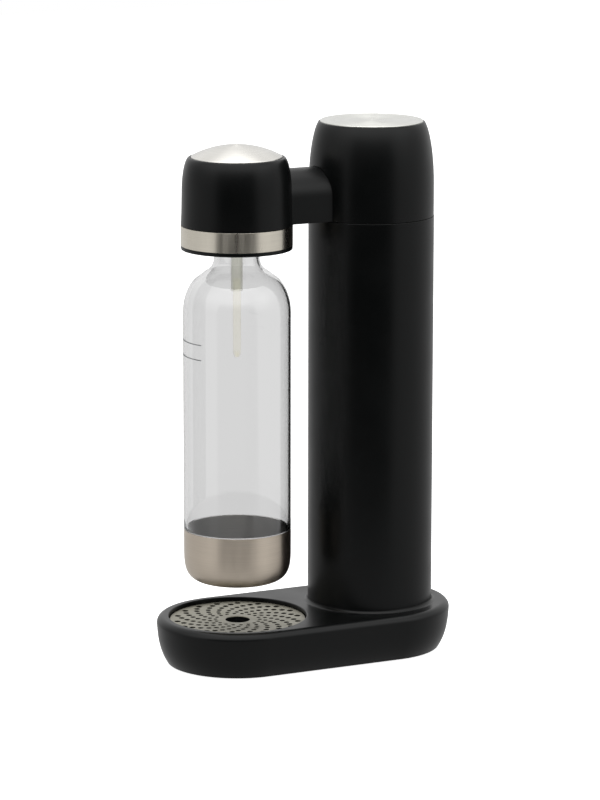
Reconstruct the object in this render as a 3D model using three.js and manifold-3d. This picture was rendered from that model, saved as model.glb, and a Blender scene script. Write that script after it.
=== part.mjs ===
// A sparkling water maker with a screw-in bottle, in millimetres, +Z up.
// The origin is on the table, midway between the bottle axis (towards -Y) and the column axis (towards +Y).
import * as THREE from "three";
import { mergeVertices } from "three/addons/utils/BufferGeometryUtils.js";
import Module from "manifold-3d";

const wasm = await Module();
wasm.setup();

// Clearances and cuts
const GAP = 0.3;
const OVERRUN = 2;

// Faces round each kind of revolved piece
const SIDES = 24;
const SMALL_SIDES = 12;
const ROD_SIDES = 10;
const SCREW_SIDES = 6;
const HOLE_SIDES = 5;

// Layout of the two vertical axes and the level at which the upper covers begin
const AXIS_SPACING = 114;
const SEAM_Z = 341.8;

// Base housing
const FLOOR_GAP = 1.2;
const BASE_BORDER = 14.05;
const BELLY_Z = 31.7;
const SIDE_TAPER = 2.15;
const SIDE_TUCK = 6.64;
const RIM_ROUND = 5.5;
const BASE_WALL = 2.2;
const WELL_PLAY = 0.8;
const WELL_WALL = 2;
const WELL_FLOOR = 2;
const WELL_CHAMFER = 1.6;
const COLLAR_WALL = 2.3;
const COLLAR_FILLET = 2.8;
const COLLAR_LIP = 0.4;
const COLLAR_STEPS = 4;
const LEDGE_T = 2.7;
const LEDGE_DEPTH = 7.5;
const BOSS_R = 4.5;
const BASE_LEVELS_SHARES = [1, 0.8, 0.5, 0];
const RIM_STEPS = 3;

// Underside: plate, feet, screws and the twist-off door
const PLATE_T = 3;
const END_INSET = 18.95;
const FOOT_TURN_SHARE = 50 / 360;
const SCREW_TURN_SHARE = 15 / 360;
const FOOT_R = 6;
const FOOT_POCKET = 1.6;
const DOOR_MARGIN = 4.2;
const DOOR_PLAY = 0.4;
const DOOR_RISE = 8.1;
const DOOR_SKIN = 2.5;
const DOOR_WALL = 5;
const GRIP_WIDTH = 9;
const LUG_REACH = 2.4;
const LUG_T = 2.2;
const LUG_COUNT = 3;
const LUG_TURN_SHARE = 1 / 15;
const NOTCH_TURN_SHARE = 1 / 12;
const UNLOCK_TURN_SHARE = 40 / 360;

// Screws: radii of shank and head, head thickness, and each kind's length
const SHANK_R = 1.4;
const SCREW_HEAD_R = 3;
const SCREW_HEAD_T = 1.6;
const BASE_SCREW_L = 7.5;
const ARM_SCREW_L = 7;
const SCREW_PLAY = 0.3;

// Drip tray: a plastic cup and the dished steel grille with a swirl of drain holes
const CUP_WALL = 1.8;
const CUP_DRAFT = 1.2;
const CUP_FLOOR = 2;
const TRAY_BORDER = 10.05;
const GRILLE_T = 1.2;
const GRILLE_DROP = 3.1;
const GRILLE_DISH = 0.85;
const GRILLE_LIP = 2.2;
const GRILLE_LIP_T = 1;
const FINGER_HOLE_SHARE = 0.1794;
const SWIRL_ARMS = 18;
const SWIRL_HOLES = 8;
const SWIRL_OUTER_SHARE = 0.897;
const SWIRL_INNER_SHARE = 0.3263;
const SWIRL_TURN_SHARE = 48.5 / 360;
const SWIRL_START_SHARE = 95.1 / 360;
const SWIRL_SPREAD_SHARE = 1.067;
const HOLE_OUTER_R = 1.75;
const HOLE_INNER_R = 1.15;
const CUP_Z = 12;

// Column tube and the frame inside it
const COLUMN_ROOM = 18.4;
const TUBE_WALL = 2.2;
const FRAME_PLATE_T = 4;
const FRAME_RING_T = 4;
const FRAME_RING_WALL = 6;
const FRAME_PLAY = 3;
const GUIDE_PLAY = 0.6;
const POST_DEPTH = 7;
const POST_WIDTH = 8;
const GUIDE_LEVEL_SHARE = 0.5;

// Gas cylinder, its valve and washer
const CYLINDER_R = 30;
const CYLINDER_SHOULDER = 28;
const CYLINDER_NECK_R = 12.5;
const CYLINDER_NECK_L = 8;
const CYLINDER_HEEL = 7;
const CYLINDER_WALL = 4;
const NECK_BORE_R = 8;
const VALVE_TAIL = 7;
const VALVE_R = 13;
const VALVE_BODY_L = 13.4;
const THREAD_R = 10.5;
const THREAD_L = 12.3;
const THREAD_PLAY = 0.5;
const VALVE_PIN_R = 1.5;
const VALVE_PIN_L = 5.2;
const WASHER_T = 2;
const SHOULDER_STEPS = 4;

// Valve block above the cylinder, and its pusher
const BLOCK_R = 17;
const BLOCK_SKIRT = 22;
const BLOCK_TOP_RISE = 12;
const BLOCK_FLANGE_R = 24;
const BLOCK_FLANGE_T = 2.9;
const PUSHER_R = 2.5;
const PUSHER_LIFT = 1.6;

// Lever, its pin and bracket
const LEVER_Z = 366;
const LEVER_H = 6;
const LEVER_WIDTH = 10;
const LEVER_NOSE = 6;
const LEVER_ARM_REAR = 31;
const LEVER_BOSS_R = 5;
const PIN_R = 2;
const PIN_PLAY = 0.3;
const EAR_T = 3;
const EAR_R = 5.6;
const BRACKET_T = 2.5;
const BRACKET_HALF = 15;
const BRACKET_DEPTH = 11.5;
const BRACKET_SCREW_X = 11.6;
const BRACKET_SCREW_L = 6;

// High-pressure hose and its nuts
const HOSE_R = 2.6;
const HOSE_RISE = 8.3;
const HOSE_SWAY = 4;
const HOSE_BOSS_R = 3.4;
const HOSE_BOSS_L = 4;
const NUT_R = 4.6;
const NUT_L = 6;
const HOSE_STEPS = 10;
const HOSE_SIDES = 6;

// Column cap and its brushed disc
const CAP_STEP = 0.2;
const CAP_WALL = 2.2;
const CAP_H = 72.4;
const CAP_CROWN = 52;
const CAP_TAPER = 8;
const CAP_CURVE_SHARES = [
  [0, 0],
  [0.4, 0.09],
  [0.7, 0.3],
  [0.88, 0.58],
  [1, 1],
];
const SPIGOT_L = 8.5;
const SPIGOT_WALL = 2.2;
const DISC_T = 2;
const DISC_PROUD = 0.8;
const DISC_EDGE = 0.6;
const DISC_DISH = 0.4;

// Arm between head and column
const ARM_HALF = 20.7;
const ARM_CROWN_RISE = 19.4;
const ARM_WALL = 2.2;
const ARM_STEPS = 8;
const ARM_TUCK_HEAD = 8.4;
const ARM_TUCK_CAP = 4.2;
const BEAM_PLAY = 1.1;
const BEAM_CLEARANCE = 4;
const BEAM_T = 2;
const BEAM_H = 14;
const BEAM_SCREW_MARGIN = 7.4;
const BEAM_SCREW_INSET = 9;

// Head: shell, steel ring and bottle socket
const HEAD_R = 42.4;
const HEAD_WALL = 2.2;
const HEAD_H = 52.5;
const HEAD_INSET = 7.2;
const HEAD_CURVE_SHARES = [
  [0, 0],
  [0.25, 0.08],
  [0.6, 0.13],
  [0.82, 0.32],
  [0.91, 0.52],
  [1, 1],
];
const RING_STEP = 0.2;
const RING_WALL = 2;
const RING_H = 15.1;
const LIP_H = 2.7;
const SOCKET_WALL = 2.2;
const CEILING_T = 4.4;
const SLEEVE_WALL = 3.6;
const SLEEVE_PLAY = 0.5;
const SLEEVE_RAISE = 1.6;
const POST_R = 4;
const POST_INSET = 13.4;
const PAD_INSET = 1.4;

// Nozzle, its holder and the pressure relief valve
const HOLDER_R = 14;
const HOLDER_H = 16.2;
const HOLDER_STEM_R = 9.5;
const STEM_PLAY = 0.3;
const BALL_R = 6.8;
const BALL_PLAY = 0.5;
const BALL_DROP = 5.8;
const BALL_STEPS = 5;
const NOZZLE_NUT_L = 3.7;
const NOZZLE_NUT_BORE_R = 6.1;
const HOLDER_STEM_L = 9.2;
const NOZZLE_R = 4.5;
const NOZZLE_END_Z = 291;
const TIP_R = 3;
const TIP_L = 51;
const TIP_SPIGOT_R = 2.2;
const TIP_SPIGOT_L = 9;
const TIP_NOSE = 2.5;
const RELIEF_R = 4.5;
const RELIEF_H = 12;
const RELIEF_CAP_R = 3;
const RELIEF_CAP_H = 4;
const RELIEF_TURN_SHARE = -1 / 8;

// Push button: steel dome, carrier, guide and return spring
const BUTTON_INSET = 0.4;
const BUTTON_PLAY = 0.5;
const BUTTON_EDGE_Z = 393.8;
const BUTTON_DOME = 8.8;
const BUTTON_SKIRT = 5.2;
const BUTTON_T = 1.4;
const DOME_STEPS = 3;
const CARRIER_T = 2;
const CARRIER_DROP = 1.6;
const HAT_R = 13;
const HAT_RISE = 7;
const HAT_WALL = 2;
const STEM_R = 5.5;
const GUIDE_RISE = 2.5;
const GUIDE_T = 2.5;
const GUIDE_HALF_WIDTH = 12;
const GUIDE_COLLAR_R = 7.6;
const GUIDE_COLLAR_H = 2;
const SPRING_R = 9.2;
const SPRING_WIRE_R = 0.8;
const SPRING_TURNS = 4;
const TURN_STEPS = 8;
const WIRE_SIDES = 5;

// Bottle: clear body and steel foot cup
const BOTTLE_R = 41.2;
const BOTTLE_WALL = 1.5;
const NECK_R = 16.9;
const NECK_WALL = 3;
const NECK_TOP_Z = 333.5;
const NECK_FOOT_Z = 312;
const SHOULDER_Z = 276;
const SHOULDER_SHARES = [
  [0, 0],
  [0.25, 0.05],
  [0.45, 0.16],
  [0.62, 0.31],
  [0.76, 0.55],
  [0.9, 0.87],
  [1, 1],
];
const FOOT_CUP_Z = 64.7;
const FOOT_CUP_H = 41.7;
const FOOT_CUP_ROUND = 30.86;
const FOOT_CUP_SQUARE = 4.17;
const FOOT_CUP_WALL = 1.2;
const FOOT_STEPS = 4;
const BOTTLE_STEP = 1.2;
const BOTTLE_FLOOR_GAP = 4.5;
const BOTTLE_HEEL_SHARES = [
  [0, 0.19],
  [0.5, 0.03],
  [0.74, 0],
  [0.9, 0.16],
  [0.97, 0.42],
  [1, 1],
];
const BOTTLE_HEEL = 26.4;

// Heights and radii that follow from the sizes above
const FULL_TURN = 2 * Math.PI;
const TUBE_R = CYLINDER_R + COLUMN_ROOM;
const TUBE_BORE_R = TUBE_R - TUBE_WALL;
const FRAME_PLATE_R = TUBE_BORE_R - FRAME_PLAY;
const CAP_R = TUBE_R - CAP_STEP;
const CAP_TOP_R = CAP_R - CAP_TAPER;
const BASE_R = TUBE_R + BASE_BORDER;
const END_CIRCLE = BASE_R - END_INSET;
const RING_R = HEAD_R + RING_STEP;
const BUTTON_R = HEAD_R - HEAD_INSET - BUTTON_INSET;
const BEAM_HALF = ARM_HALF - ARM_WALL - BEAM_PLAY;
const PAD_HALF = BEAM_HALF - PAD_INSET;
const BEAM_SCREW_X = BEAM_HALF - BEAM_SCREW_MARGIN;
const POST_X = HEAD_R - POST_INSET;
const TIP_END_Z = NOZZLE_END_Z - TIP_L;
const DOOR_R = CYLINDER_R + DOOR_MARGIN;
const GRILLE_R = BASE_R - TRAY_BORDER;
const FINGER_HOLE_R = GRILLE_R * FINGER_HOLE_SHARE;
const SWIRL_OUTER_R = GRILLE_R * SWIRL_OUTER_SHARE;
const SWIRL_INNER_R = GRILLE_R * SWIRL_INNER_SHARE;
const BASE_TOP = BELLY_Z + RIM_ROUND;
const PLATE_TOP = FLOOR_GAP + PLATE_T;
const WELL_R = GRILLE_R + WELL_PLAY;
const WELL_FLOOR_Z = CUP_Z - GAP - WELL_FLOOR;
const GRILLE_Z = BASE_TOP - GRILLE_DROP;
const CUP_TOP = GRILLE_Z - GRILLE_T - GAP;
const COLLAR_BORE_R = TUBE_R + GAP;
const COLLAR_R = COLLAR_BORE_R + COLLAR_WALL;
const COLLAR_TOP = BASE_TOP + COLLAR_FILLET;
const FILLET_R = COLLAR_BORE_R + COLLAR_LIP + COLLAR_FILLET;
const LEDGE_TOP = BASE_TOP - LEDGE_DEPTH;
const COLUMN_FOOT_Z = LEDGE_TOP + GAP;
const UNDER_SEAM = SEAM_Z - GAP;
const DECK_Z = SEAM_Z + ARM_WALL;
const ON_DECK = DECK_Z + GAP;
const OPENING_R = DOOR_R + DOOR_PLAY;
const DOOR_Z = FLOOR_GAP + GAP;
const BASE_SCREW_Z = FLOOR_GAP + GAP + SCREW_HEAD_T;
const CYLINDER_Z = DOOR_Z + DOOR_RISE + GAP;
const BLOCK_Z = ON_DECK - BLOCK_SKIRT;
const VALVE_TOP = BLOCK_Z - GAP;
const VALVE_Z = VALVE_TOP - VALVE_BODY_L;
const BLOCK_TOP = ON_DECK + BLOCK_TOP_RISE;
const HOSE_Z = ON_DECK + HOSE_RISE;
const COLUMN_Y = AXIS_SPACING / 2;
const HEAD_Y = -AXIS_SPACING / 2;
const PIVOT_Z = LEVER_Z + LEVER_H / 2;
const CAP_TOP = SEAM_Z + CAP_H;
const ARM_CROWN_Z = SEAM_Z + ARM_CROWN_RISE;
const RING_Z = UNDER_SEAM - RING_H;
const SOCKET_R = RING_R - RING_WALL - GAP;
const LIP_TOP = RING_Z - GAP;
const LIP_Z = LIP_TOP - LIP_H;
const CEILING_Z = UNDER_SEAM - CEILING_T;
const SLEEVE_R = NECK_R + SLEEVE_PLAY;
const SEAL_T = CEILING_Z - NECK_TOP_Z - 2 * GAP;
const BALL_Z = SEAM_Z - BALL_DROP;
const STEM_Z = SEAM_Z - HOLDER_STEM_L;
const STEM_BOTTOM = LEVER_Z + LEVER_H + GAP;
const GUIDE_Z = LEVER_Z + LEVER_H + GUIDE_RISE;
const GUIDE_TOP = GUIDE_Z + GUIDE_T;
const CARRIER_TOP = BUTTON_EDGE_Z - CARRIER_DROP;
const HAT_TOP = CARRIER_TOP + HAT_RISE;
const BEAM_FRONT = HEAD_Y + HOLDER_R + BEAM_CLEARANCE;
const BEAM_REAR = COLUMN_Y - BLOCK_FLANGE_R - GAP;
const BRACKET_FRONT = BLOCK_FLANGE_R + GAP;
const BRACKET_SCREW_Y = BRACKET_FRONT + BRACKET_DEPTH / 2;

// A geometry as a solid: its vertices are merged, and triangles with no area at a pole are dropped.
function solid(geometry) {
  const loose = geometry.index ? geometry.toNonIndexed() : geometry;
  const bare = new THREE.BufferGeometry();
  bare.setAttribute("position", loose.getAttribute("position"));
  const merged = mergeVertices(bare);
  const corners = merged.index.array;
  const kept = [];
  for (let i = 0; i < corners.length; i += 3) {
    const [a, b, c] = corners.slice(i, i + 3);
    if (a !== b && b !== c && c !== a) kept.push(a, b, c);
  }
  const mesh = new wasm.Mesh({
    numProp: 3,
    vertProperties: merged.getAttribute("position").array,
    triVerts: new Uint32Array(kept),
  });
  return new wasm.Manifold(mesh);
}

// A solid as a geometry with flat faces.
function geometryOf(body) {
  const mesh = body.getMesh();
  const geometry = new THREE.BufferGeometry();
  geometry.setAttribute("position", new THREE.BufferAttribute(mesh.vertProperties, 3));
  geometry.setIndex(new THREE.BufferAttribute(mesh.triVerts, 1));
  const flat = geometry.toNonIndexed();
  flat.computeVertexNormals();
  return flat;
}

function join(first, ...others) {
  const sum = others.reduce((body, other) => body.add(solid(other)), solid(first));
  return geometryOf(sum);
}

function cut(first, ...others) {
  const rest = others.reduce((body, other) => body.subtract(solid(other)), solid(first));
  return geometryOf(rest);
}

// A profile of [radius, height] turned round the Z axis. One that leaves the axis free closes on itself.
function revolve(profile, sides) {
  const outline = profile.map(([r, z]) => new THREE.Vector2(r, z));
  if (THREE.ShapeUtils.area(outline) < 0) outline.reverse();
  const onAxis = outline[0].x === 0 && outline[outline.length - 1].x === 0;
  if (!onAxis) outline.push(outline[0].clone());
  const geometry = new THREE.LatheGeometry(outline, sides);
  return geometry.rotateX(Math.PI / 2);
}

// A disc or rod on the Z axis between two heights.
function disc(r, low, high, sides = SIDES) {
  return revolve([[0, low], [r, low], [r, high], [0, high]], sides);
}

// A ring on the Z axis between two heights.
function ring(outer, inner, low, high, sides = SIDES) {
  return revolve([[inner, low], [outer, low], [outer, high], [inner, high]], sides);
}

// A box given by its two corners.
function block(low, high) {
  const size = high.map((v, i) => v - low[i]);
  const middle = high.map((v, i) => (v + low[i]) / 2);
  return new THREE.BoxGeometry(...size).translate(...middle);
}

// A flat outline of [x, y] points, with round holes, raised from one height to another.
function plate(points, low, high, holes = []) {
  const shape = new THREE.Shape(points.map(([x, y]) => new THREE.Vector2(x, y)));
  for (const hole of holes) shape.holes.push(new THREE.Path(hole));
  const geometry = new THREE.ExtrudeGeometry(shape, { depth: high - low, bevelEnabled: false });
  return geometry.translate(0, 0, low);
}

// The corners of a regular polygon round [x, y].
function polygon(r, sides, x = 0, y = 0, turn = 0) {
  const corners = [];
  for (let i = 0; i < sides; i += 1) {
    const a = turn + (FULL_TURN * i) / sides;
    corners.push(new THREE.Vector2(x + r * Math.cos(a), y + r * Math.sin(a)));
  }
  return corners;
}

// An outline in the Y-Z plane that is extruded along X, centred on the plane x = 0.
function sidewise(points, width) {
  const geometry = plate(points, -width / 2, width / 2);
  return geometry.rotateZ(Math.PI / 2).rotateY(Math.PI / 2);
}

// An outline in the X-Z plane that is extruded along Y.
function lengthwise(points, front, rear, hole = []) {
  const shape = new THREE.Shape(points.map(([x, z]) => new THREE.Vector2(x, z)));
  if (hole.length) shape.holes.push(new THREE.Path(hole.map(([x, z]) => new THREE.Vector2(x, z))));
  const geometry = new THREE.ExtrudeGeometry(shape, { depth: rear - front, bevelEnabled: false });
  return geometry.rotateX(Math.PI / 2).translate(0, rear, 0);
}

// The base's half width at a height on its drawn-in side.
function baseRadius(z) {
  const s = Math.max(0, (BELLY_Z - z) / BELLY_Z);
  return BASE_R - SIDE_TAPER * s - SIDE_TUCK * s ** 3;
}

// Levels of [radius, height], each a stadium round both axes, skinned into one solid.
function stadium(levels) {
  const half = SIDES / 2;
  const rows = levels.map(([r, z]) => {
    const row = [];
    for (let i = 0; i <= half; i += 1) {
      const a = Math.PI * (1 + i / half);
      row.push([r * Math.cos(a), HEAD_Y + r * Math.sin(a), z]);
    }
    for (let i = 0; i <= half; i += 1) {
      const a = (Math.PI * i) / half;
      row.push([r * Math.cos(a), COLUMN_Y + r * Math.sin(a), z]);
    }
    return row;
  });
  const count = rows[0].length;
  const faces = [];
  rows.slice(1).forEach((upper, k) => {
    const lower = rows[k];
    for (let i = 0; i < count; i += 1) {
      const j = (i + 1) % count;
      faces.push(lower[i], lower[j], upper[j], lower[i], upper[j], upper[i]);
    }
  });
  const bottom = rows[0];
  const top = rows[rows.length - 1];
  for (let i = 1; i < count - 1; i += 1) {
    faces.push(bottom[0], bottom[i + 1], bottom[i]);
    faces.push(top[0], top[i], top[i + 1]);
  }
  const geometry = new THREE.BufferGeometry();
  geometry.setAttribute("position", new THREE.Float32BufferAttribute(faces.flat(), 3));
  return geometry;
}

// The four places on the end circles, two at each end, a share of a turn off the long axis.
function endPlaces(turnShare) {
  const x = END_CIRCLE * Math.sin(FULL_TURN * turnShare);
  const y = END_CIRCLE * Math.cos(FULL_TURN * turnShare);
  return [
    [-x, HEAD_Y - y],
    [x, HEAD_Y - y],
    [-x, COLUMN_Y + y],
    [x, COLUMN_Y + y],
  ];
}

// Base housing: a moulded stadium shell with the tray's well, the column's collar and the screw bosses.
function baseHousing() {
  const side = BASE_LEVELS_SHARES.map((share) => {
    const z = BELLY_Z - share * (BELLY_Z - FLOOR_GAP);
    return [baseRadius(z), z];
  });
  const rim = [];
  for (let i = 1; i <= RIM_STEPS; i += 1) {
    const a = ((Math.PI / 2) * i) / RIM_STEPS;
    rim.push([BASE_R - RIM_ROUND * (1 - Math.cos(a)), BELLY_Z + RIM_ROUND * Math.sin(a)]);
  }
  const outside = stadium([...side, ...rim]);
  const inside = stadium([
    [baseRadius(FLOOR_GAP) - BASE_WALL, FLOOR_GAP - OVERRUN],
    [baseRadius(FLOOR_GAP) - BASE_WALL, FLOOR_GAP],
    ...side.slice(1).map(([r, z]) => [r - BASE_WALL, z]),
    [BASE_R - RIM_ROUND, BASE_TOP - BASE_WALL],
  ]);
  const well = ring(WELL_R + WELL_WALL, WELL_R - OVERRUN, WELL_FLOOR_Z, BASE_TOP - BASE_WALL / 2);
  const floor = disc(WELL_R + WELL_WALL / 2, WELL_FLOOR_Z, WELL_FLOOR_Z + WELL_FLOOR);
  const fillet = [];
  for (let i = 0; i <= COLLAR_STEPS; i += 1) {
    const a = ((Math.PI / 2) * i) / COLLAR_STEPS;
    fillet.push([FILLET_R - COLLAR_FILLET * Math.sin(a), COLLAR_TOP - COLLAR_FILLET * Math.cos(a)]);
  }
  const collar = revolve(
    [
      [COLLAR_BORE_R - OVERRUN, LEDGE_TOP - LEDGE_T],
      [COLLAR_R, LEDGE_TOP - LEDGE_T],
      [COLLAR_R, BASE_TOP - BASE_WALL / 2],
      [FILLET_R, BASE_TOP - BASE_WALL / 2],
      ...fillet,
      [COLLAR_BORE_R - OVERRUN, COLLAR_TOP],
    ],
    SIDES,
  );
  const ledge = disc(COLLAR_BORE_R, LEDGE_TOP - LEDGE_T, LEDGE_TOP);
  const wellBore = revolve(
    [
      [0, WELL_FLOOR_Z + WELL_FLOOR],
      [WELL_R, WELL_FLOOR_Z + WELL_FLOOR],
      [WELL_R, BASE_TOP - WELL_CHAMFER],
      [WELL_R + WELL_CHAMFER, BASE_TOP],
      [WELL_R + WELL_CHAMFER, BASE_TOP + OVERRUN],
      [0, BASE_TOP + OVERRUN],
    ],
    SIDES,
  );
  const columnBore = disc(COLLAR_BORE_R, LEDGE_TOP, COLLAR_TOP + OVERRUN);
  const passage = disc(OPENING_R, LEDGE_TOP - LEDGE_T - OVERRUN, LEDGE_TOP + OVERRUN);
  let housing = cut(outside, inside);
  housing = join(
    housing,
    well.translate(0, HEAD_Y, 0),
    floor.translate(0, HEAD_Y, 0),
    collar.translate(0, COLUMN_Y, 0),
    ledge.translate(0, COLUMN_Y, 0),
  );
  for (const [x, y] of endPlaces(SCREW_TURN_SHARE)) {
    const top = y < 0 ? WELL_FLOOR_Z + WELL_FLOOR / 2 : LEDGE_TOP - LEDGE_T / 2;
    housing = join(housing, disc(BOSS_R, PLATE_TOP + GAP, top, ROD_SIDES).translate(x, y, 0));
  }
  const screwTop = BASE_SCREW_Z + BASE_SCREW_L + SCREW_PLAY;
  const holes = endPlaces(SCREW_TURN_SHARE).map(([x, y]) =>
    disc(SHANK_R + SCREW_PLAY, PLATE_TOP - OVERRUN, screwTop, SCREW_SIDES).translate(x, y, 0),
  );
  return cut(
    housing,
    wellBore.translate(0, HEAD_Y, 0),
    columnBore.translate(0, COLUMN_Y, 0),
    passage.translate(0, COLUMN_Y, 0),
    ...holes,
  );
}

// Base plate: closes the housing from below, with the door's opening and its three bayonet notches.
function basePlate() {
  const r = baseRadius(FLOOR_GAP) - BASE_WALL - GAP;
  const low = FLOOR_GAP - OVERRUN;
  const high = PLATE_TOP + OVERRUN;
  const cuts = [disc(OPENING_R, low, high).translate(0, COLUMN_Y, 0)];
  for (let i = 0; i < LUG_COUNT; i += 1) {
    const notch = sector(
      OPENING_R - OVERRUN,
      DOOR_R + LUG_REACH + DOOR_PLAY,
      i / LUG_COUNT + UNLOCK_TURN_SHARE,
      NOTCH_TURN_SHARE,
      low,
      high,
    );
    cuts.push(notch.translate(0, COLUMN_Y, 0));
  }
  for (const [x, y] of endPlaces(FOOT_TURN_SHARE)) {
    const pocket = disc(FOOT_R + GAP, low, FLOOR_GAP + FOOT_POCKET, ROD_SIDES);
    cuts.push(pocket.translate(x, y, 0));
  }
  for (const [x, y] of endPlaces(SCREW_TURN_SHARE)) {
    const sink = BASE_SCREW_Z + GAP;
    cuts.push(disc(SCREW_HEAD_R + GAP, low, sink, SCREW_SIDES).translate(x, y, 0));
    cuts.push(disc(SHANK_R + SCREW_PLAY, low, high, SCREW_SIDES).translate(x, y, 0));
  }
  return cut(stadium([[r, FLOOR_GAP], [r, PLATE_TOP]]), ...cuts);
}

// A sector of a ring, centred a share of a turn round from +Y.
function sector(inner, outer, atShare, widthShare, low, high) {
  const points = [];
  const steps = 3;
  for (const [r, way] of [[outer, 1], [inner, -1]]) {
    for (let i = 0; i <= steps; i += 1) {
      const a = FULL_TURN * (atShare + 1 / 4 + way * widthShare * (i / steps - 1 / 2));
      points.push([r * Math.cos(a), r * Math.sin(a)]);
    }
  }
  return plate(points, low, high);
}

// Cylinder door: a round cover with three lugs above the plate and a bar to grip it by.
function cylinderDoor() {
  const top = DOOR_Z + DOOR_RISE;
  const ceiling = top - DOOR_SKIN;
  const body = cut(
    disc(DOOR_R, DOOR_Z, top),
    disc(DOOR_R - DOOR_WALL, DOOR_Z - OVERRUN, ceiling),
  );
  const reach = DOOR_R - DOOR_WALL / 2;
  const bar = block(
    [-reach, -GRIP_WIDTH / 2, DOOR_Z + GAP],
    [reach, GRIP_WIDTH / 2, ceiling + DOOR_SKIN / 2],
  );
  const lugs = [];
  for (let i = 0; i < LUG_COUNT; i += 1) {
    const low = PLATE_TOP + GAP;
    lugs.push(sector(DOOR_R - OVERRUN, DOOR_R + LUG_REACH, i / LUG_COUNT, LUG_TURN_SHARE, low, low + LUG_T));
  }
  return join(body, bar, ...lugs);
}

// Rubber foot that stands in a pocket of the base plate.
function footPad() {
  const top = FLOOR_GAP + FOOT_POCKET - GAP;
  const edge = FLOOR_GAP / 2;
  return revolve([[0, 0], [FOOT_R - edge, 0], [FOOT_R, edge], [FOOT_R, top], [0, top]], ROD_SIDES);
}

// A screw whose head is at the top and whose underside of head is at height zero.
function screw(length) {
  return revolve(
    [
      [0, -length],
      [SHANK_R, -length],
      [SHANK_R, 0],
      [SCREW_HEAD_R, 0],
      [SCREW_HEAD_R, SCREW_HEAD_T],
      [0, SCREW_HEAD_T],
    ],
    SCREW_SIDES,
  );
}

// Drip cup: an open dish with a draft, which stands on the well's floor.
function dripCup() {
  const top = WELL_R - GAP;
  const foot = top - CUP_DRAFT;
  return revolve(
    [
      [0, CUP_Z],
      [foot, CUP_Z],
      [top, CUP_TOP],
      [top - CUP_WALL, CUP_TOP],
      [foot - CUP_WALL, CUP_Z + CUP_FLOOR],
      [0, CUP_Z + CUP_FLOOR],
    ],
    SIDES,
  );
}

// Drip grille: a dished steel disc with a finger hole and curved rows of drain holes, and a lip below it.
function dripGrille() {
  const holes = [polygon(FINGER_HOLE_R, SIDES / 2).reverse()];
  for (let arm = 0; arm < SWIRL_ARMS; arm += 1) {
    for (let i = 0; i < SWIRL_HOLES; i += 1) {
      const along = i / (SWIRL_HOLES - 1);
      const inward = along ** SWIRL_SPREAD_SHARE;
      const r = SWIRL_OUTER_R - (SWIRL_OUTER_R - SWIRL_INNER_R) * inward;
      const size = HOLE_OUTER_R - (HOLE_OUTER_R - HOLE_INNER_R) * inward;
      const a = FULL_TURN * (SWIRL_START_SHARE + SWIRL_TURN_SHARE * along + arm / SWIRL_ARMS);
      holes.push(polygon(size, HOLE_SIDES, r * Math.cos(a), r * Math.sin(a), a).reverse());
    }
  }
  const rim = polygon(GRILLE_R, SIDES).map((v) => [v.x, v.y]);
  const sheet = plate(rim, GRILLE_Z - GRILLE_T, GRILLE_Z, holes);
  const place = sheet.getAttribute("position");
  for (let i = 0; i < place.count; i += 1) {
    const share = Math.hypot(place.getX(i), place.getY(i)) / GRILLE_R;
    place.setZ(i, place.getZ(i) - GRILLE_DISH * (1 - share ** 2));
  }
  const lipR = WELL_R - 2 * GAP - CUP_WALL - CUP_DRAFT / 2;
  const lip = ring(
    lipR,
    lipR - GRILLE_LIP_T,
    GRILLE_Z - GRILLE_T - GRILLE_LIP,
    GRILLE_Z - GRILLE_T / 2,
  );
  return join(sheet, lip);
}

function columnTube() {
  return ring(TUBE_R, TUBE_BORE_R, COLUMN_FOOT_Z, UNDER_SEAM);
}

// Inner frame: foot ring, guide ring and deck on three posts, which holds the valve and the cylinder.
function innerFrame() {
  const foot = ring(TUBE_BORE_R - GAP, OPENING_R, COLUMN_FOOT_Z, COLUMN_FOOT_Z + FRAME_RING_T, SIDES);
  const guideR = CYLINDER_R + GUIDE_PLAY;
  const guideZ = GUIDE_LEVEL_SHARE * SEAM_Z;
  const guide = ring(guideR + FRAME_RING_WALL, guideR, guideZ, guideZ + FRAME_RING_T);
  const deck = ring(FRAME_PLATE_R, BLOCK_R + GAP, DECK_Z - FRAME_PLATE_T, DECK_Z);
  const inner = FRAME_PLATE_R - POST_DEPTH;
  const corner = Math.sqrt(FRAME_PLATE_R ** 2 - (POST_WIDTH / 2) ** 2) - GAP;
  const post = block(
    [inner, -POST_WIDTH / 2, COLUMN_FOOT_Z + FRAME_RING_T / 2],
    [corner, POST_WIDTH / 2, DECK_Z - FRAME_PLATE_T / 2],
  );
  const posts = [0, 1, 2].map((i) => post.clone().rotateZ((Math.PI / 2) * i));
  const frame = join(foot, ...posts, deck, guide);
  const holes = [];
  for (const side of [-1, 1]) {
    const shank = disc(SHANK_R + SCREW_PLAY, DECK_Z - FRAME_PLATE_T - OVERRUN, DECK_Z + OVERRUN, SCREW_SIDES);
    holes.push(shank.clone().translate(side * BEAM_SCREW_X, BEAM_REAR - BEAM_SCREW_INSET - COLUMN_Y, 0));
    holes.push(shank.clone().translate(side * BRACKET_SCREW_X, BRACKET_SCREW_Y, 0));
  }
  return cut(frame, ...holes);
}

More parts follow.
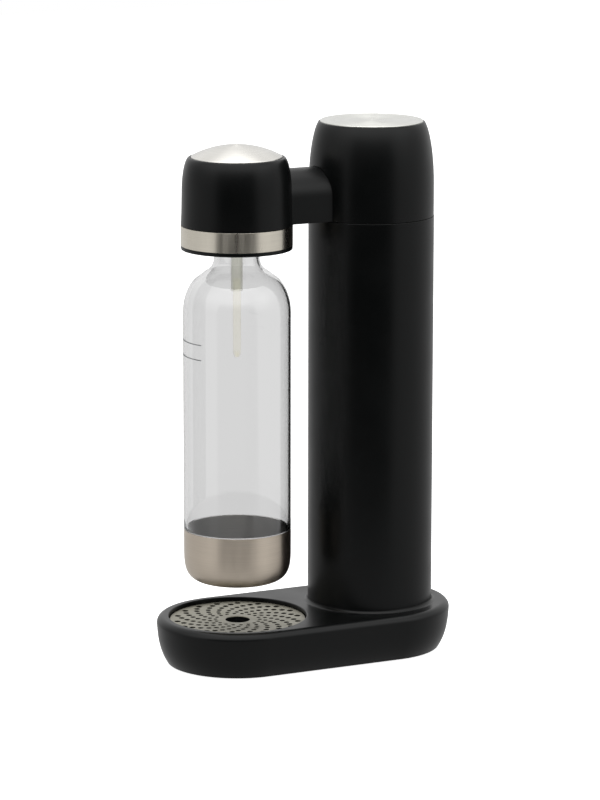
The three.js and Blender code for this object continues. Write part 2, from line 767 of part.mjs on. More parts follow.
// Gas cylinder: a drawn bottle with a rounded heel, a domed shoulder and a bored neck.
function gasCylinder() {
  const neckTop = VALVE_Z - GAP;
  const neckFoot = neckTop - CYLINDER_NECK_L;
  const bore = CYLINDER_R - CYLINDER_WALL;
  const floor = CYLINDER_Z + CYLINDER_WALL;
  const profile = [[0, CYLINDER_Z], [CYLINDER_R - CYLINDER_HEEL, CYLINDER_Z]];
  profile.push([CYLINDER_R, CYLINDER_Z + CYLINDER_HEEL]);
  for (let i = 0; i <= SHOULDER_STEPS; i += 1) {
    const a = ((Math.PI / 2) * i) / SHOULDER_STEPS;
    const r = CYLINDER_NECK_R + (CYLINDER_R - CYLINDER_NECK_R) * Math.cos(a);
    profile.push([r, neckFoot - CYLINDER_SHOULDER * (1 - Math.sin(a))]);
  }
  profile.push(
    [CYLINDER_NECK_R, neckTop],
    [NECK_BORE_R, neckTop],
    [NECK_BORE_R, neckFoot - CYLINDER_WALL],
    [bore, neckFoot - CYLINDER_SHOULDER - CYLINDER_WALL],
    [bore, floor + CYLINDER_HEEL],
    [bore - CYLINDER_HEEL, floor],
    [0, floor],
  );
  return revolve(profile, SIDES);
}

// Cylinder valve: brass body with a tail in the cylinder's neck, a threaded top and the pin that opens it.
function cylinderValve() {
  const threadTop = VALVE_TOP + THREAD_L;
  return revolve(
    [
      [0, VALVE_Z - VALVE_TAIL],
      [NECK_BORE_R - GAP, VALVE_Z - VALVE_TAIL],
      [NECK_BORE_R - GAP, VALVE_Z],
      [VALVE_R, VALVE_Z],
      [VALVE_R, VALVE_TOP],
      [THREAD_R, VALVE_TOP],
      [THREAD_R, threadTop],
      [VALVE_PIN_R, threadTop],
      [VALVE_PIN_R, threadTop + VALVE_PIN_L],
      [0, threadTop + VALVE_PIN_L],
    ],
    SMALL_SIDES,
  );
}

function cylinderSeal() {
  const low = VALVE_TOP + THREAD_L + GAP;
  return ring(THREAD_R, THREAD_R / 2, low, low + WASHER_T, SMALL_SIDES);
}

// Valve block: takes the cylinder's thread from below and the pusher from above, with an outlet for the hose.
function valveBlock() {
  const chamberTop = VALVE_TOP + THREAD_L + WASHER_T + 2 * GAP;
  const body = revolve(
    [
      [THREAD_R + THREAD_PLAY, BLOCK_Z],
      [BLOCK_R, BLOCK_Z],
      [BLOCK_R, ON_DECK],
      [BLOCK_FLANGE_R, ON_DECK],
      [BLOCK_FLANGE_R, ON_DECK + BLOCK_FLANGE_T],
      [BLOCK_R, ON_DECK + BLOCK_FLANGE_T],
      [BLOCK_R, BLOCK_TOP],
      [PUSHER_R + GAP, BLOCK_TOP],
      [PUSHER_R + GAP, chamberTop],
      [THREAD_R + THREAD_PLAY, chamberTop],
    ],
    SMALL_SIDES,
  );
  const outlet = disc(HOSE_BOSS_R, BLOCK_R - OVERRUN, BLOCK_R + HOSE_BOSS_L, SCREW_SIDES);
  return join(body, outlet.rotateX(Math.PI / 2).translate(0, 0, HOSE_Z));
}

function valvePusher() {
  const low = VALVE_TOP + THREAD_L + VALVE_PIN_L + PUSHER_LIFT;
  return disc(PUSHER_R, low, LEVER_Z - GAP, SMALL_SIDES / 2);
}

// Lever: a bar from under the button to its pivot behind the valve, with a boss round the pin.
// It is drawn about its pivot.
function lever() {
  const reach = AXIS_SPACING + LEVER_ARM_REAR;
  const half = LEVER_H / 2;
  const points = [
    [-reach - LEVER_NOSE, half],
    [-reach - LEVER_NOSE, 0],
    [-reach - LEVER_NOSE / 2, -half],
    [0, -half],
    [0, half],
  ];
  const bar = sidewise(points, LEVER_WIDTH);
  const boss = crossRod(LEVER_BOSS_R, LEVER_WIDTH);
  return cut(join(bar, boss), crossRod(PIN_R + PIN_PLAY, LEVER_WIDTH + 2 * OVERRUN));
}

// A rod along X, centred on the origin.
function crossRod(r, length) {
  return disc(r, -length / 2, length / 2, ROD_SIDES).rotateY(Math.PI / 2);
}

// Lever bracket: a bent plate with two ears that hold the pin on both sides of the lever.
function leverBracket() {
  const inner = LEVER_WIDTH / 2 + 2 * GAP;
  const foot = block(
    [-BRACKET_HALF, BRACKET_FRONT, ON_DECK],
    [BRACKET_HALF, BRACKET_FRONT + BRACKET_DEPTH, ON_DECK + BRACKET_T],
  );
  const ears = [];
  for (const side of [-1, 1]) {
    const wall = block(
      [-EAR_T / 2, LEVER_ARM_REAR - EAR_R, ON_DECK + BRACKET_T / 2],
      [EAR_T / 2, LEVER_ARM_REAR + EAR_R, PIVOT_Z],
    );
    const round = crossRod(EAR_R, EAR_T).translate(0, LEVER_ARM_REAR, PIVOT_Z);
    ears.push(join(wall, round).translate(side * (inner + EAR_T / 2), 0, 0));
  }
  const pinHole = crossRod(PIN_R + PIN_PLAY, BRACKET_HALF * 2);
  const shank = disc(SHANK_R + SCREW_PLAY, ON_DECK - OVERRUN, ON_DECK + BRACKET_T + OVERRUN, SCREW_SIDES);
  return cut(
    join(foot, ...ears),
    pinHole.translate(0, LEVER_ARM_REAR, PIVOT_Z),
    shank.clone().translate(-BRACKET_SCREW_X, BRACKET_SCREW_Y, 0),
    shank.clone().translate(BRACKET_SCREW_X, BRACKET_SCREW_Y, 0),
  );
}

// Hose from the valve block's outlet to the nozzle holder, swaying once to each side.
function gasHose() {
  const rear = COLUMN_Y - BLOCK_R - HOSE_BOSS_L - GAP;
  const front = HEAD_Y + HOLDER_R + HOSE_BOSS_L + GAP;
  const straight = NUT_L + HOSE_R;
  const span = rear - front - 2 * straight;
  const points = [new THREE.Vector3(0, rear, HOSE_Z)];
  const bends = [0, HOSE_SWAY, 0, -HOSE_SWAY, 0];
  bends.forEach((x, i) => {
    const y = rear - straight - (span * i) / (bends.length - 1);
    points.push(new THREE.Vector3(x, y, HOSE_Z));
  });
  points.push(new THREE.Vector3(0, front, HOSE_Z));
  const path = new THREE.CatmullRomCurve3(points);
  const section = new THREE.Shape(polygon(HOSE_R, HOSE_SIDES));
  return new THREE.ExtrudeGeometry(section, { steps: HOSE_STEPS, extrudePath: path });
}

// Hexagonal nut round the hose's end, along Y from height zero.
function hoseNut() {
  const outline = polygon(NUT_R, SCREW_SIDES).map((v) => [v.x, v.y]);
  const bore = polygon(HOSE_R + GAP, ROD_SIDES).reverse();
  return plate(outline, 0, NUT_L, [bore]).rotateX(Math.PI / 2);
}

// Column cap: a tall crowned cover with a spigot into the tube, a recess for the disc and the arm's opening.
function columnCap() {
  const crownZ = CAP_TOP - CAP_CROWN;
  const curve = CAP_CURVE_SHARES.map(([up, inward]) => [
    CAP_R - (CAP_R - CAP_TOP_R) * inward,
    crownZ + CAP_CROWN * up,
  ]);
  const floor = CAP_TOP + DISC_PROUD - DISC_T - GAP;
  const inside = curve.slice(0, -1).map(([r, z]) => [r - CAP_WALL, z]);
  const spigotR = TUBE_BORE_R - GAP;
  const profile = [
    [0, floor - CAP_WALL],
    ...inside.reverse(),
    [CAP_R - CAP_WALL, SEAM_Z + 2 * CAP_WALL],
    [spigotR - SPIGOT_WALL, SEAM_Z + CAP_WALL],
    [spigotR - SPIGOT_WALL, SEAM_Z - SPIGOT_L],
    [spigotR, SEAM_Z - SPIGOT_L],
    [spigotR, SEAM_Z],
    [CAP_R, SEAM_Z],
    ...curve,
    [CAP_TOP_R - GAP, CAP_TOP],
    [CAP_TOP_R - GAP, floor],
    [0, floor],
  ];
  const opening = lengthwise(archOutline(ARM_HALF + GAP), -CAP_R - OVERRUN, -CAP_R / 2);
  return cut(revolve(profile, SIDES), opening);
}

// Brushed disc set into the cap's top, a little dished.
function capDisc() {
  const r = CAP_TOP_R - 2 * GAP;
  const top = CAP_TOP + DISC_PROUD;
  return revolve(
    [
      [0, top - DISC_T],
      [r, top - DISC_T],
      [r, top - DISC_EDGE],
      [r - DISC_EDGE, top],
      [r - 2 * DISC_EDGE, top],
      [r - 2 * DISC_EDGE - DISC_T, top - DISC_DISH],
      [0, top - DISC_DISH],
    ],
    SIDES,
  );
}

// The arm's arch outline: upright sides on a flat floor, closed by a half circle.
function archOutline(half) {
  const floor = SEAM_Z - (half - ARM_HALF);
  const points = [[-half, floor], [half, floor]];
  for (let i = 0; i <= ARM_STEPS; i += 1) {
    const a = (Math.PI * i) / ARM_STEPS;
    points.push([half * Math.cos(a), ARM_CROWN_Z + half * Math.sin(a)]);
  }
  return points;
}

// Arm shell: the arch-shaped cover between head and cap, whose ends reach inside both.
function armShell() {
  const front = HEAD_Y + HEAD_R - ARM_TUCK_HEAD;
  const rear = COLUMN_Y - CAP_R + ARM_TUCK_CAP;
  const inside = archOutline(ARM_HALF - ARM_WALL).reverse();
  return lengthwise(archOutline(ARM_HALF), front, rear, inside);
}

// Arm beam: a bent steel channel that carries the head from the frame's deck.
function armBeam() {
  const high = ON_DECK + BEAM_H;
  const floor = ON_DECK + BEAM_T;
  const section = [
    [-BEAM_HALF, ON_DECK],
    [BEAM_HALF, ON_DECK],
    [BEAM_HALF, high],
    [BEAM_HALF - BEAM_T, high],
    [BEAM_HALF - BEAM_T, floor],
    [-BEAM_HALF + BEAM_T, floor],
    [-BEAM_HALF + BEAM_T, high],
    [-BEAM_HALF, high],
  ];
  const holes = beamScrewPlaces().map(([x, y]) =>
    disc(SHANK_R + SCREW_PLAY, ON_DECK - OVERRUN, floor + OVERRUN, SCREW_SIDES).translate(x, y, 0),
  );
  return cut(lengthwise(section, BEAM_FRONT, BEAM_REAR), ...holes);
}

function beamScrewPlaces() {
  const front = BEAM_FRONT + BEAM_SCREW_INSET;
  const rear = BEAM_REAR - BEAM_SCREW_INSET;
  return [
    [-BEAM_SCREW_X, front],
    [BEAM_SCREW_X, front],
    [-BEAM_SCREW_X, rear],
    [BEAM_SCREW_X, rear],
  ];
}

// Head shell: a round cover that draws in to the button's rim, with the arm's opening behind.
function headShell() {
  const curve = HEAD_CURVE_SHARES.map(([up, inward]) => [HEAD_R - HEAD_INSET * inward, SEAM_Z + HEAD_H * up]);
  const bore = BUTTON_R + BUTTON_PLAY;
  const inside = curve.slice(0, -2).map(([r, z]) => [Math.max(bore, r - HEAD_WALL), z]);
  const top = SEAM_Z + HEAD_H;
  const profile = [...curve, [bore, top], [bore, top - HEAD_WALL], ...inside.reverse()];
  profile[curve.length - 1][0] = bore + GAP;
  const opening = lengthwise(archOutline(ARM_HALF + GAP), HEAD_R / 2, HEAD_R + OVERRUN);
  return cut(revolve(profile, SIDES), opening);
}

function headRing() {
  return ring(RING_R, RING_R - RING_WALL, RING_Z, UNDER_SEAM);
}

// Bottle socket: skirt and lip that carry the ring, the sleeve for the neck, two posts and the beam's pad.
function bottleSocket() {
  const sleeveOuter = SLEEVE_R + SLEEVE_WALL;
  const pocket = SOCKET_R - SOCKET_WALL;
  const body = revolve(
    [
      [HOLDER_STEM_R + STEM_PLAY, CEILING_Z],
      [SLEEVE_R, CEILING_Z],
      [SLEEVE_R, LIP_Z + SLEEVE_RAISE],
      [sleeveOuter, LIP_Z + SLEEVE_RAISE],
      [sleeveOuter, CEILING_Z],
      [pocket, CEILING_Z],
      [pocket, LIP_Z],
      [HEAD_R, LIP_Z],
      [HEAD_R, LIP_TOP],
      [SOCKET_R, LIP_TOP],
      [SOCKET_R, UNDER_SEAM],
      [HOLDER_STEM_R + STEM_PLAY, UNDER_SEAM],
    ],
    SIDES,
  );
  const padFront = BEAM_FRONT - HEAD_Y;
  const padRear = HEAD_R - ARM_TUCK_HEAD - GAP;
  const pad = block([-PAD_HALF, padFront, CEILING_Z + CEILING_T / 2], [PAD_HALF, padRear, DECK_Z]);
  const parts = [pad];
  const holes = [];
  for (const side of [-1, 1]) {
    const post = disc(POST_R, CEILING_Z + CEILING_T / 2, GUIDE_Z - GAP, ROD_SIDES);
    parts.push(post.translate(side * POST_X, 0, 0));
    const guideScrew = disc(SHANK_R + SCREW_PLAY, GUIDE_TOP - ARM_SCREW_L, GUIDE_TOP, SCREW_SIDES);
    holes.push(guideScrew.translate(side * POST_X, 0, 0));
    const screwEnd = ON_DECK + BEAM_T + GAP - ARM_SCREW_L - SCREW_PLAY;
    const beamScrew = disc(SHANK_R + SCREW_PLAY, screwEnd, DECK_Z + OVERRUN, SCREW_SIDES);
    holes.push(beamScrew.translate(side * BEAM_SCREW_X, padFront + BEAM_SCREW_INSET, 0));
  }
  return cut(join(body, ...parts), ...holes);
}

function bottleSeal() {
  const low = NECK_TOP_Z + GAP;
  return ring(SLEEVE_R - GAP, HOLDER_STEM_R + STEM_PLAY, low, low + SEAL_T);
}

// Nozzle holder: takes the hose and holds the nozzle's ball from above.
function nozzleHolder() {
  const bore = BALL_R + BALL_PLAY;
  const body = revolve(
    [
      [0, BALL_Z + bore],
      [bore, BALL_Z + bore],
      [bore, STEM_Z],
      [HOLDER_STEM_R, STEM_Z],
      [HOLDER_STEM_R, SEAM_Z],
      [HOLDER_R, SEAM_Z],
      [HOLDER_R, SEAM_Z + HOLDER_H],
      [0, SEAM_Z + HOLDER_H],
    ],
    SIDES,
  );
  const inlet = disc(HOSE_BOSS_R, HOLDER_R - OVERRUN, HOLDER_R + HOSE_BOSS_L, SCREW_SIDES);
  return join(body, inlet.rotateX(-Math.PI / 2).translate(0, 0, HOSE_Z));
}

function nozzleNut() {
  const top = STEM_Z - GAP;
  return ring(HOLDER_STEM_R, NOZZLE_NUT_BORE_R, top - NOZZLE_NUT_L, top, SMALL_SIDES);
}

// Nozzle tube: a ball that lets the tube swing, and a bore that takes the tip. It is drawn about its ball.
function nozzleTube() {
  const low = NOZZLE_END_Z - BALL_Z;
  const boreR = TIP_SPIGOT_R + GAP;
  const boreTop = low + TIP_SPIGOT_L + GAP;
  const profile = [[0, boreTop], [boreR, boreTop], [boreR, low], [NOZZLE_R, low]];
  const start = -Math.acos(NOZZLE_R / BALL_R);
  for (let i = 0; i <= BALL_STEPS; i += 1) {
    const a = start + ((Math.PI / 2 - start) * i) / BALL_STEPS;
    profile.push([i === BALL_STEPS ? 0 : BALL_R * Math.cos(a), BALL_R * Math.sin(a)]);
  }
  return revolve(profile, SMALL_SIDES);
}

// Nozzle tip: a thinner tube with a spigot in the nozzle's bore, drawn about the nozzle's ball.
function nozzleTip() {
  const low = TIP_END_Z - BALL_Z;
  const top = NOZZLE_END_Z - BALL_Z - GAP;
  return revolve(
    [
      [0, low],
      [TIP_SPIGOT_R, low],
      [TIP_R, low + TIP_NOSE],
      [TIP_R, top],
      [TIP_SPIGOT_R, top],
      [TIP_SPIGOT_R, top + TIP_SPIGOT_L],
      [0, top + TIP_SPIGOT_L],
    ],
    SMALL_SIDES,
  );
}

function reliefValve() {
  const body = revolve(
    [
      [0, SEAM_Z],
      [RELIEF_R, SEAM_Z],
      [RELIEF_R, SEAM_Z + RELIEF_H],
      [RELIEF_CAP_R, SEAM_Z + RELIEF_H],
      [RELIEF_CAP_R, SEAM_Z + RELIEF_H + RELIEF_CAP_H],
      [0, SEAM_Z + RELIEF_H + RELIEF_CAP_H],
    ],
    SCREW_SIDES * 2,
  );
  return body.translate(HOLDER_R + GAP + RELIEF_R, 0, 0).rotateZ(FULL_TURN * RELIEF_TURN_SHARE);
}

// A point on the button's dome, sunk below its outside.
function domePoint(r, sunk) {
  const sphere = (BUTTON_R ** 2 + BUTTON_DOME ** 2) / (2 * BUTTON_DOME);
  const drop = sphere - Math.sqrt(sphere ** 2 - r ** 2);
  return [r, BUTTON_EDGE_Z + BUTTON_DOME - drop - sunk];
}

// Button cap: a shallow steel dome with a short skirt.
function buttonCap() {
  const inner = BUTTON_R - BUTTON_T;
  const low = BUTTON_EDGE_Z - BUTTON_SKIRT;
  const outside = [];
  const inside = [];
  for (let i = 0; i <= DOME_STEPS; i += 1) {
    outside.push(domePoint(BUTTON_R * (1 - i / DOME_STEPS), 0));
    inside.push(domePoint((inner * i) / DOME_STEPS, BUTTON_T));
  }
  return revolve([...inside, [inner, low], [BUTTON_R, low], ...outside], SIDES);
}

// Button carrier: the plate under the cap, with a hat for the spring and the stem that presses the lever.
function buttonCarrier() {
  const plateR = BUTTON_R - BUTTON_T - GAP;
  return revolve(
    [
      [0, STEM_BOTTOM],
      [STEM_R, STEM_BOTTOM],
      [STEM_R, HAT_TOP - HAT_WALL],
      [HAT_R - HAT_WALL, HAT_TOP - HAT_WALL],
      [HAT_R - HAT_WALL, CARRIER_TOP - CARRIER_T],
      [plateR, CARRIER_TOP - CARRIER_T],
      [plateR, CARRIER_TOP],
      [HAT_R, CARRIER_TOP],
      [HAT_R, HAT_TOP],
      [0, HAT_TOP],
    ],
    SMALL_SIDES,
  );
}

// Button guide: a bridge on the socket's two posts, with the stem's bore and a collar inside the spring.
function buttonGuide() {
  const bore = STEM_R + GAP;
  const rear = GUIDE_HALF_WIDTH;
  const nose = GUIDE_COLLAR_R;
  const long = POST_X + POST_R;
  const outline = [
    [-long, -nose],
    [-nose, -rear],
    [nose, -rear],
    [long, -nose],
    [long, nose],
    [nose, rear],
    [-nose, rear],
    [-long, nose],
  ];
  const bridge = plate(outline, GUIDE_Z, GUIDE_TOP);
  const collar = disc(GUIDE_COLLAR_R, GUIDE_Z, GUIDE_TOP + GUIDE_COLLAR_H, SMALL_SIDES);
  const holes = [disc(bore, GUIDE_Z - OVERRUN, GUIDE_TOP + GUIDE_COLLAR_H + OVERRUN, SMALL_SIDES)];
  for (const side of [-1, 1]) {
    const shank = disc(SHANK_R + SCREW_PLAY, GUIDE_Z - OVERRUN, GUIDE_TOP + OVERRUN, SCREW_SIDES);
    holes.push(shank.translate(side * POST_X, 0, 0));
  }
  return cut(join(bridge, collar), ...holes);
}

// The line of the return spring's wire.
class Helix extends THREE.Curve {
  getPoint(t, target = new THREE.Vector3()) {
    const low = GUIDE_TOP + GAP + SPRING_WIRE_R;
    const high = HAT_TOP - HAT_WALL - GAP - SPRING_WIRE_R;
    const a = FULL_TURN * SPRING_TURNS * t;
    return target.set(SPRING_R * Math.cos(a), SPRING_R * Math.sin(a), low + (high - low) * t);
  }
}

// Return spring between the guide and the hat: one unbroken wire.
function buttonSpring() {
  const section = new THREE.Shape(polygon(SPRING_WIRE_R, WIRE_SIDES));
  const steps = SPRING_TURNS * TURN_STEPS;
  return new THREE.ExtrudeGeometry(section, { steps, extrudePath: new Helix() });
}

// Bottle body: a blown bottle with a heel that stands in the cup, a round shoulder and a neck.
function bottleBody() {
  const cupTop = FOOT_CUP_Z + FOOT_CUP_H;
  const footR = BOTTLE_R - FOOT_CUP_WALL - GAP;
  const heelZ = FOOT_CUP_Z + BOTTLE_FLOOR_GAP;
  const heel = BOTTLE_HEEL_SHARES.map(([out, up]) => [footR * out, heelZ + BOTTLE_HEEL * up]);
  const shoulder = SHOULDER_SHARES.map(([up, inward]) => [
    BOTTLE_R - (BOTTLE_R - NECK_R) * inward,
    SHOULDER_Z + (NECK_FOOT_Z - SHOULDER_Z) * up,
  ]);
  const neckBore = NECK_R - NECK_WALL;
  const everySecond = (points) => points.filter((point, i) => i % 2 === 0);
  const innerShoulder = everySecond(shoulder)
    .slice(0, -1)
    .map(([r, z]) => [r - BOTTLE_WALL, z - BOTTLE_WALL / 2]);
  const innerHeel = everySecond(heel).map(([r, z]) => [
    Math.max(0, r - BOTTLE_WALL),
    z + 2 * BOTTLE_WALL,
  ]);
  return revolve(
    [
      ...heel,
      [footR, cupTop + GAP],
      [BOTTLE_R, cupTop + GAP],
      ...shoulder,
      [NECK_R, NECK_TOP_Z],
      [neckBore, NECK_TOP_Z],
      [neckBore, NECK_FOOT_Z],
      ...innerShoulder.reverse(),
      [BOTTLE_R - BOTTLE_WALL, cupTop + BOTTLE_STEP + BOTTLE_WALL],
      [footR - BOTTLE_WALL, cupTop],
      ...innerHeel.reverse(),
    ],
    SIDES,
  );
}

// The foot cup's outline from its side to its floor, drawn in from the outside by a wall.
function footCurve(wall) {
  const points = [];
  const round = FOOT_CUP_ROUND - wall;
  for (let i = 0; i <= FOOT_STEPS; i += 1) {
    const a = ((Math.PI / 2) * i) / FOOT_STEPS;
    const out = Math.max(0, Math.cos(a)) ** (2 / FOOT_CUP_SQUARE);
    const down = Math.sin(a) ** (2 / FOOT_CUP_SQUARE);
    points.push([
      BOTTLE_R - FOOT_CUP_ROUND + round * (i === FOOT_STEPS ? 0 : out),
      FOOT_CUP_Z + FOOT_CUP_ROUND - round * down,
    ]);
  }
  return points;
}

// Foot cup: the brushed steel shoe of the bottle.
function bottleCup() {
  const top = FOOT_CUP_Z + FOOT_CUP_H;
  return revolve(
    [
      [0, FOOT_CUP_Z],
      ...footCurve(0).reverse(),
      [BOTTLE_R, top],
      [BOTTLE_R - FOOT_CUP_WALL, top],
      ...footCurve(FOOT_CUP_WALL),
      [0, FOOT_CUP_Z + FOOT_CUP_WALL],
    ],
    SIDES,
  );
}

// Finishes: colour, roughness and metalness
const BLACK_ABS = [0x16181a, 0.32, 0];
const MATT_BLACK = [0x1c1d1f, 0.6, 0];
const RUBBER = [0x202022, 0.85, 0];
const STEEL = [0xb9b5ad, 0.34, 1];
const DARK_NYLON = [0x3a3d40, 0.55, 0];
const ZINC = [0xc2c4c6, 0.4, 1];
const BRASS = [0xc9a24b, 0.3, 1];
const CYLINDER_PAINT = [0x9fb4c4, 0.4, 0];
const CLEAR_PET = [0xeef3f4, 0.06, 0];
const MILKY = [0xd8dcdc, 0.3, 0];

const maker = new THREE.Group();
const column = new THREE.Group();
const head = new THREE.Group();
const pivot = new THREE.Group();
const nozzle = new THREE.Group();
column.position.y = COLUMN_Y;
head.position.y = HEAD_Y;
pivot.position.set(0, LEVER_ARM_REAR, PIVOT_Z);
nozzle.position.z = BALL_Z;
maker.add(column, head);
column.add(pivot);
head.add(nozzle);

function add(group, name, geometry, [color, roughness, metalness]) {
  const material = new THREE.MeshStandardMaterial({ color, roughness, metalness });
  const mesh = new THREE.Mesh(geometryOf(solid(geometry)), material);
  mesh.name = name;
  group.add(mesh);
  return mesh;
}

// The base and what is fastened under it
add(maker, "base_housing", baseHousing(), BLACK_ABS);
add(maker, "base_plate", basePlate(), MATT_BLACK);
add(column, "cylinder_door", cylinderDoor(), MATT_BLACK);
add(head, "drip_cup", dripCup(), MATT_BLACK);
add(head, "drip_grille", dripGrille(), STEEL);
endPlaces(FOOT_TURN_SHARE).forEach(([x, y], i) => {
  add(maker, `foot_pad_${i + 1}`, footPad(), RUBBER).position.set(x, y, 0);
});
endPlaces(SCREW_TURN_SHARE).forEach(([x, y], i) => {
  const mesh = add(maker, `base_screw_${i + 1}`, screw(BASE_SCREW_L).rotateX(Math.PI), ZINC);
  mesh.position.set(x, y, BASE_SCREW_Z);
});

// The column and the gas supply inside it
add(column, "column_tube", columnTube(), BLACK_ABS);
add(column, "inner_frame", innerFrame(), DARK_NYLON);
add(column, "co2_cylinder", gasCylinder(), CYLINDER_PAINT);
add(column, "cylinder_valve", cylinderValve(), BRASS);
add(column, "cylinder_seal", cylinderSeal(), RUBBER);
add(column, "valve_block", valveBlock(), ZINC);
add(column, "valve_pusher", valvePusher(), ZINC);
add(pivot, "lever", lever(), ZINC);
add(pivot, "lever_pin", crossRod(PIN_R, LEVER_WIDTH + 2 * EAR_T + OVERRUN * 2), ZINC);
add(column, "lever_bracket", leverBracket(), ZINC);
[-1, 1].forEach((side, i) => {
  const mesh = add(column, `bracket_screw_${i + 1}`, screw(BRACKET_SCREW_L), ZINC);
  mesh.position.set(side * BRACKET_SCREW_X, BRACKET_SCREW_Y, ON_DECK + BRACKET_T + GAP);
});
add(column, "column_cap", columnCap(), BLACK_ABS);
add(column, "cap_disc", capDisc(), STEEL);

// The arm
add(maker, "arm_shell", armShell(), BLACK_ABS);
add(maker, "arm_beam", armBeam(), ZINC);
beamScrewPlaces().forEach(([x, y], i) => {
  const mesh = add(maker, `arm_screw_${i + 1}`, screw(ARM_SCREW_L), ZINC);
  mesh.position.set(x, y, ON_DECK + BEAM_T + GAP);
});
add(maker, "gas_hose", gasHose(), MILKY);
const nutRear = COLUMN_Y - BLOCK_R - HOSE_BOSS_L - GAP;
const nutFront = HEAD_Y + HOLDER_R + HOSE_BOSS_L + GAP + NUT_L;
[nutRear, nutFront].forEach((y, i) => {
  add(maker, `hose_nut_${i + 1}`, hoseNut(), BRASS).position.set(0, y, HOSE_Z);
});

// The head and the nozzle
add(head, "head_shell", headShell(), BLACK_ABS);
add(head, "head_ring", headRing(), STEEL);
add(head, "bottle_socket", bottleSocket(), MATT_BLACK);
add(head, "bottle_seal", bottleSeal(), RUBBER);
add(head, "nozzle_holder", nozzleHolder(), DARK_NYLON);
add(head, "nozzle_nut", nozzleNut(), DARK_NYLON);
add(head, "relief_valve", reliefValve(), BRASS);
add(nozzle, "nozzle_tube", nozzleTube(), DARK_NYLON);
add(nozzle, "nozzle_tip", nozzleTip(), MILKY);
add(head, "button_cap", buttonCap(), STEEL);
add(head, "button_carrier", buttonCarrier(), MATT_BLACK);
add(head, "button_guide", buttonGuide(), MATT_BLACK);
[-1, 1].forEach((side, i) => {
  const mesh = add(head, `guide_screw_${i + 1}`, screw(ARM_SCREW_L), ZINC);
  mesh.position.set(side * POST_X, 0, GUIDE_TOP + GAP);
});
add(head, "button_spring", buttonSpring(), ZINC);

// The bottle
add(head, "bottle_body", bottleBody(), CLEAR_PET);
add(head, "bottle_cup", bottleCup(), STEEL);

export default maker;
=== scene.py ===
import math

import bmesh
import bpy
from mathutils import Matrix, Vector


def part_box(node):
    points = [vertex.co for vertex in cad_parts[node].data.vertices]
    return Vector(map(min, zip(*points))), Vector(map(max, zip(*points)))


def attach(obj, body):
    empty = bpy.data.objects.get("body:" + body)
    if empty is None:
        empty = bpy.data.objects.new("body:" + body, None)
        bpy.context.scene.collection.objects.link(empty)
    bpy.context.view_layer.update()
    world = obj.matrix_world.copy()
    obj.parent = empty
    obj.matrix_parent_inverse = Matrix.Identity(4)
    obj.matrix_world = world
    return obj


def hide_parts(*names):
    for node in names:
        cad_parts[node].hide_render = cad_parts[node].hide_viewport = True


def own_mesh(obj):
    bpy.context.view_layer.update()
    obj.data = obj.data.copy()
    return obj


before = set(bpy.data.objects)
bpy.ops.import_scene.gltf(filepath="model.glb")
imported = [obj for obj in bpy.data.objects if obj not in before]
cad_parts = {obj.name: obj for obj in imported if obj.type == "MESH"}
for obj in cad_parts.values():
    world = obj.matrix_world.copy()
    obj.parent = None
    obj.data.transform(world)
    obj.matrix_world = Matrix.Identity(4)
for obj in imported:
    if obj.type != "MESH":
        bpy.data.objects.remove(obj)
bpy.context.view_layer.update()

# Camera: a long lens three metres away, looking down a little at the machine's right front.
# Its place and lens come from a fit to the outlines of base, column and head.
MM = 0.001
CAMERA_HEADING = 64.128
CAMERA_DIP = 11.649
CAMERA_ROLL = 0.063
CAMERA_DISTANCE = 2997.4 * MM
CAMERA_SIDESTEP = -3.294 * MM
CAMERA_AIM_HEIGHT = 201.08 * MM
CAMERA_REACH = 50
FOCAL_PIXELS = 3893.27
FRAME_PIXELS = 800
SENSOR_HEIGHT = 36.0
scene = bpy.context.scene
bpy.ops.object.select_all(action="DESELECT")
bpy.ops.object.camera_add()
camera = bpy.context.object
turn = Matrix.Rotation(math.radians(CAMERA_HEADING), 4, "Z")
tilt = Matrix.Rotation(math.radians(90 - CAMERA_DIP), 4, "X")
roll = Matrix.Rotation(math.radians(CAMERA_ROLL), 4, "Z")
machine_middle = Vector((0, 0, CAMERA_AIM_HEIGHT))
aim = turn @ Vector((CAMERA_SIDESTEP, 0, 0)) + machine_middle
facing = turn @ tilt @ roll
camera.matrix_world = Matrix.Translation(aim + facing @ Vector((0, 0, CAMERA_DISTANCE))) @ facing
camera.data.sensor_fit = "VERTICAL"
camera.data.sensor_height = SENSOR_HEIGHT
camera.data.lens = SENSOR_HEIGHT * FOCAL_PIXELS / FRAME_PIXELS
camera.data.clip_end = CAMERA_REACH
scene.camera = camera
scene.view_settings.view_transform = "Standard"

# Floor: seamless white studio paper, matt, laid flat under the machine. The camera sees it plain white, with
# the soft shadow of the base. Reflections see it a little darker, and dark past its front edge, where the
# room has its gap. Rays through the bottle see it darker than white, as it shows there in the photo.
FLOOR_SIZE = 9.0
PAPER_WHITE = "#d9d9d9"
PAPER_GLOW = 0.86
PAPER_MIRRORED = 0.7
PAPER_EDGE = (0.25, 0.65)
DARK_ANGLES = (0.69, 0.79)
SEEN_THROUGH = 0.7
UNLIT = (0, 0, 0, 1)


def linear(hex_colour):
    """Turns an sRGB hex colour into the linear colour that shaders use."""
    parts = [int(hex_colour[i:i + 2], 16) / 255 for i in (1, 3, 5)]
    return [p / 12.92 if p <= 0.04045 else ((p + 0.055) / 1.055) ** 2.4 for p in parts] + [1.0]


def add_node(tree, kind, inputs=None, **settings):
    """Adds one shader node to a tree. Each input is a value, or the output that feeds it."""
    new = tree.nodes.new("ShaderNode" + kind)
    for name, value in settings.items():
        setattr(new, name, value)
    for name, value in (inputs or {}).items():
        if isinstance(value, bpy.types.NodeSocket):
            tree.links.new(value, new.inputs[name])
        else:
            new.inputs[name].default_value = value
    return new


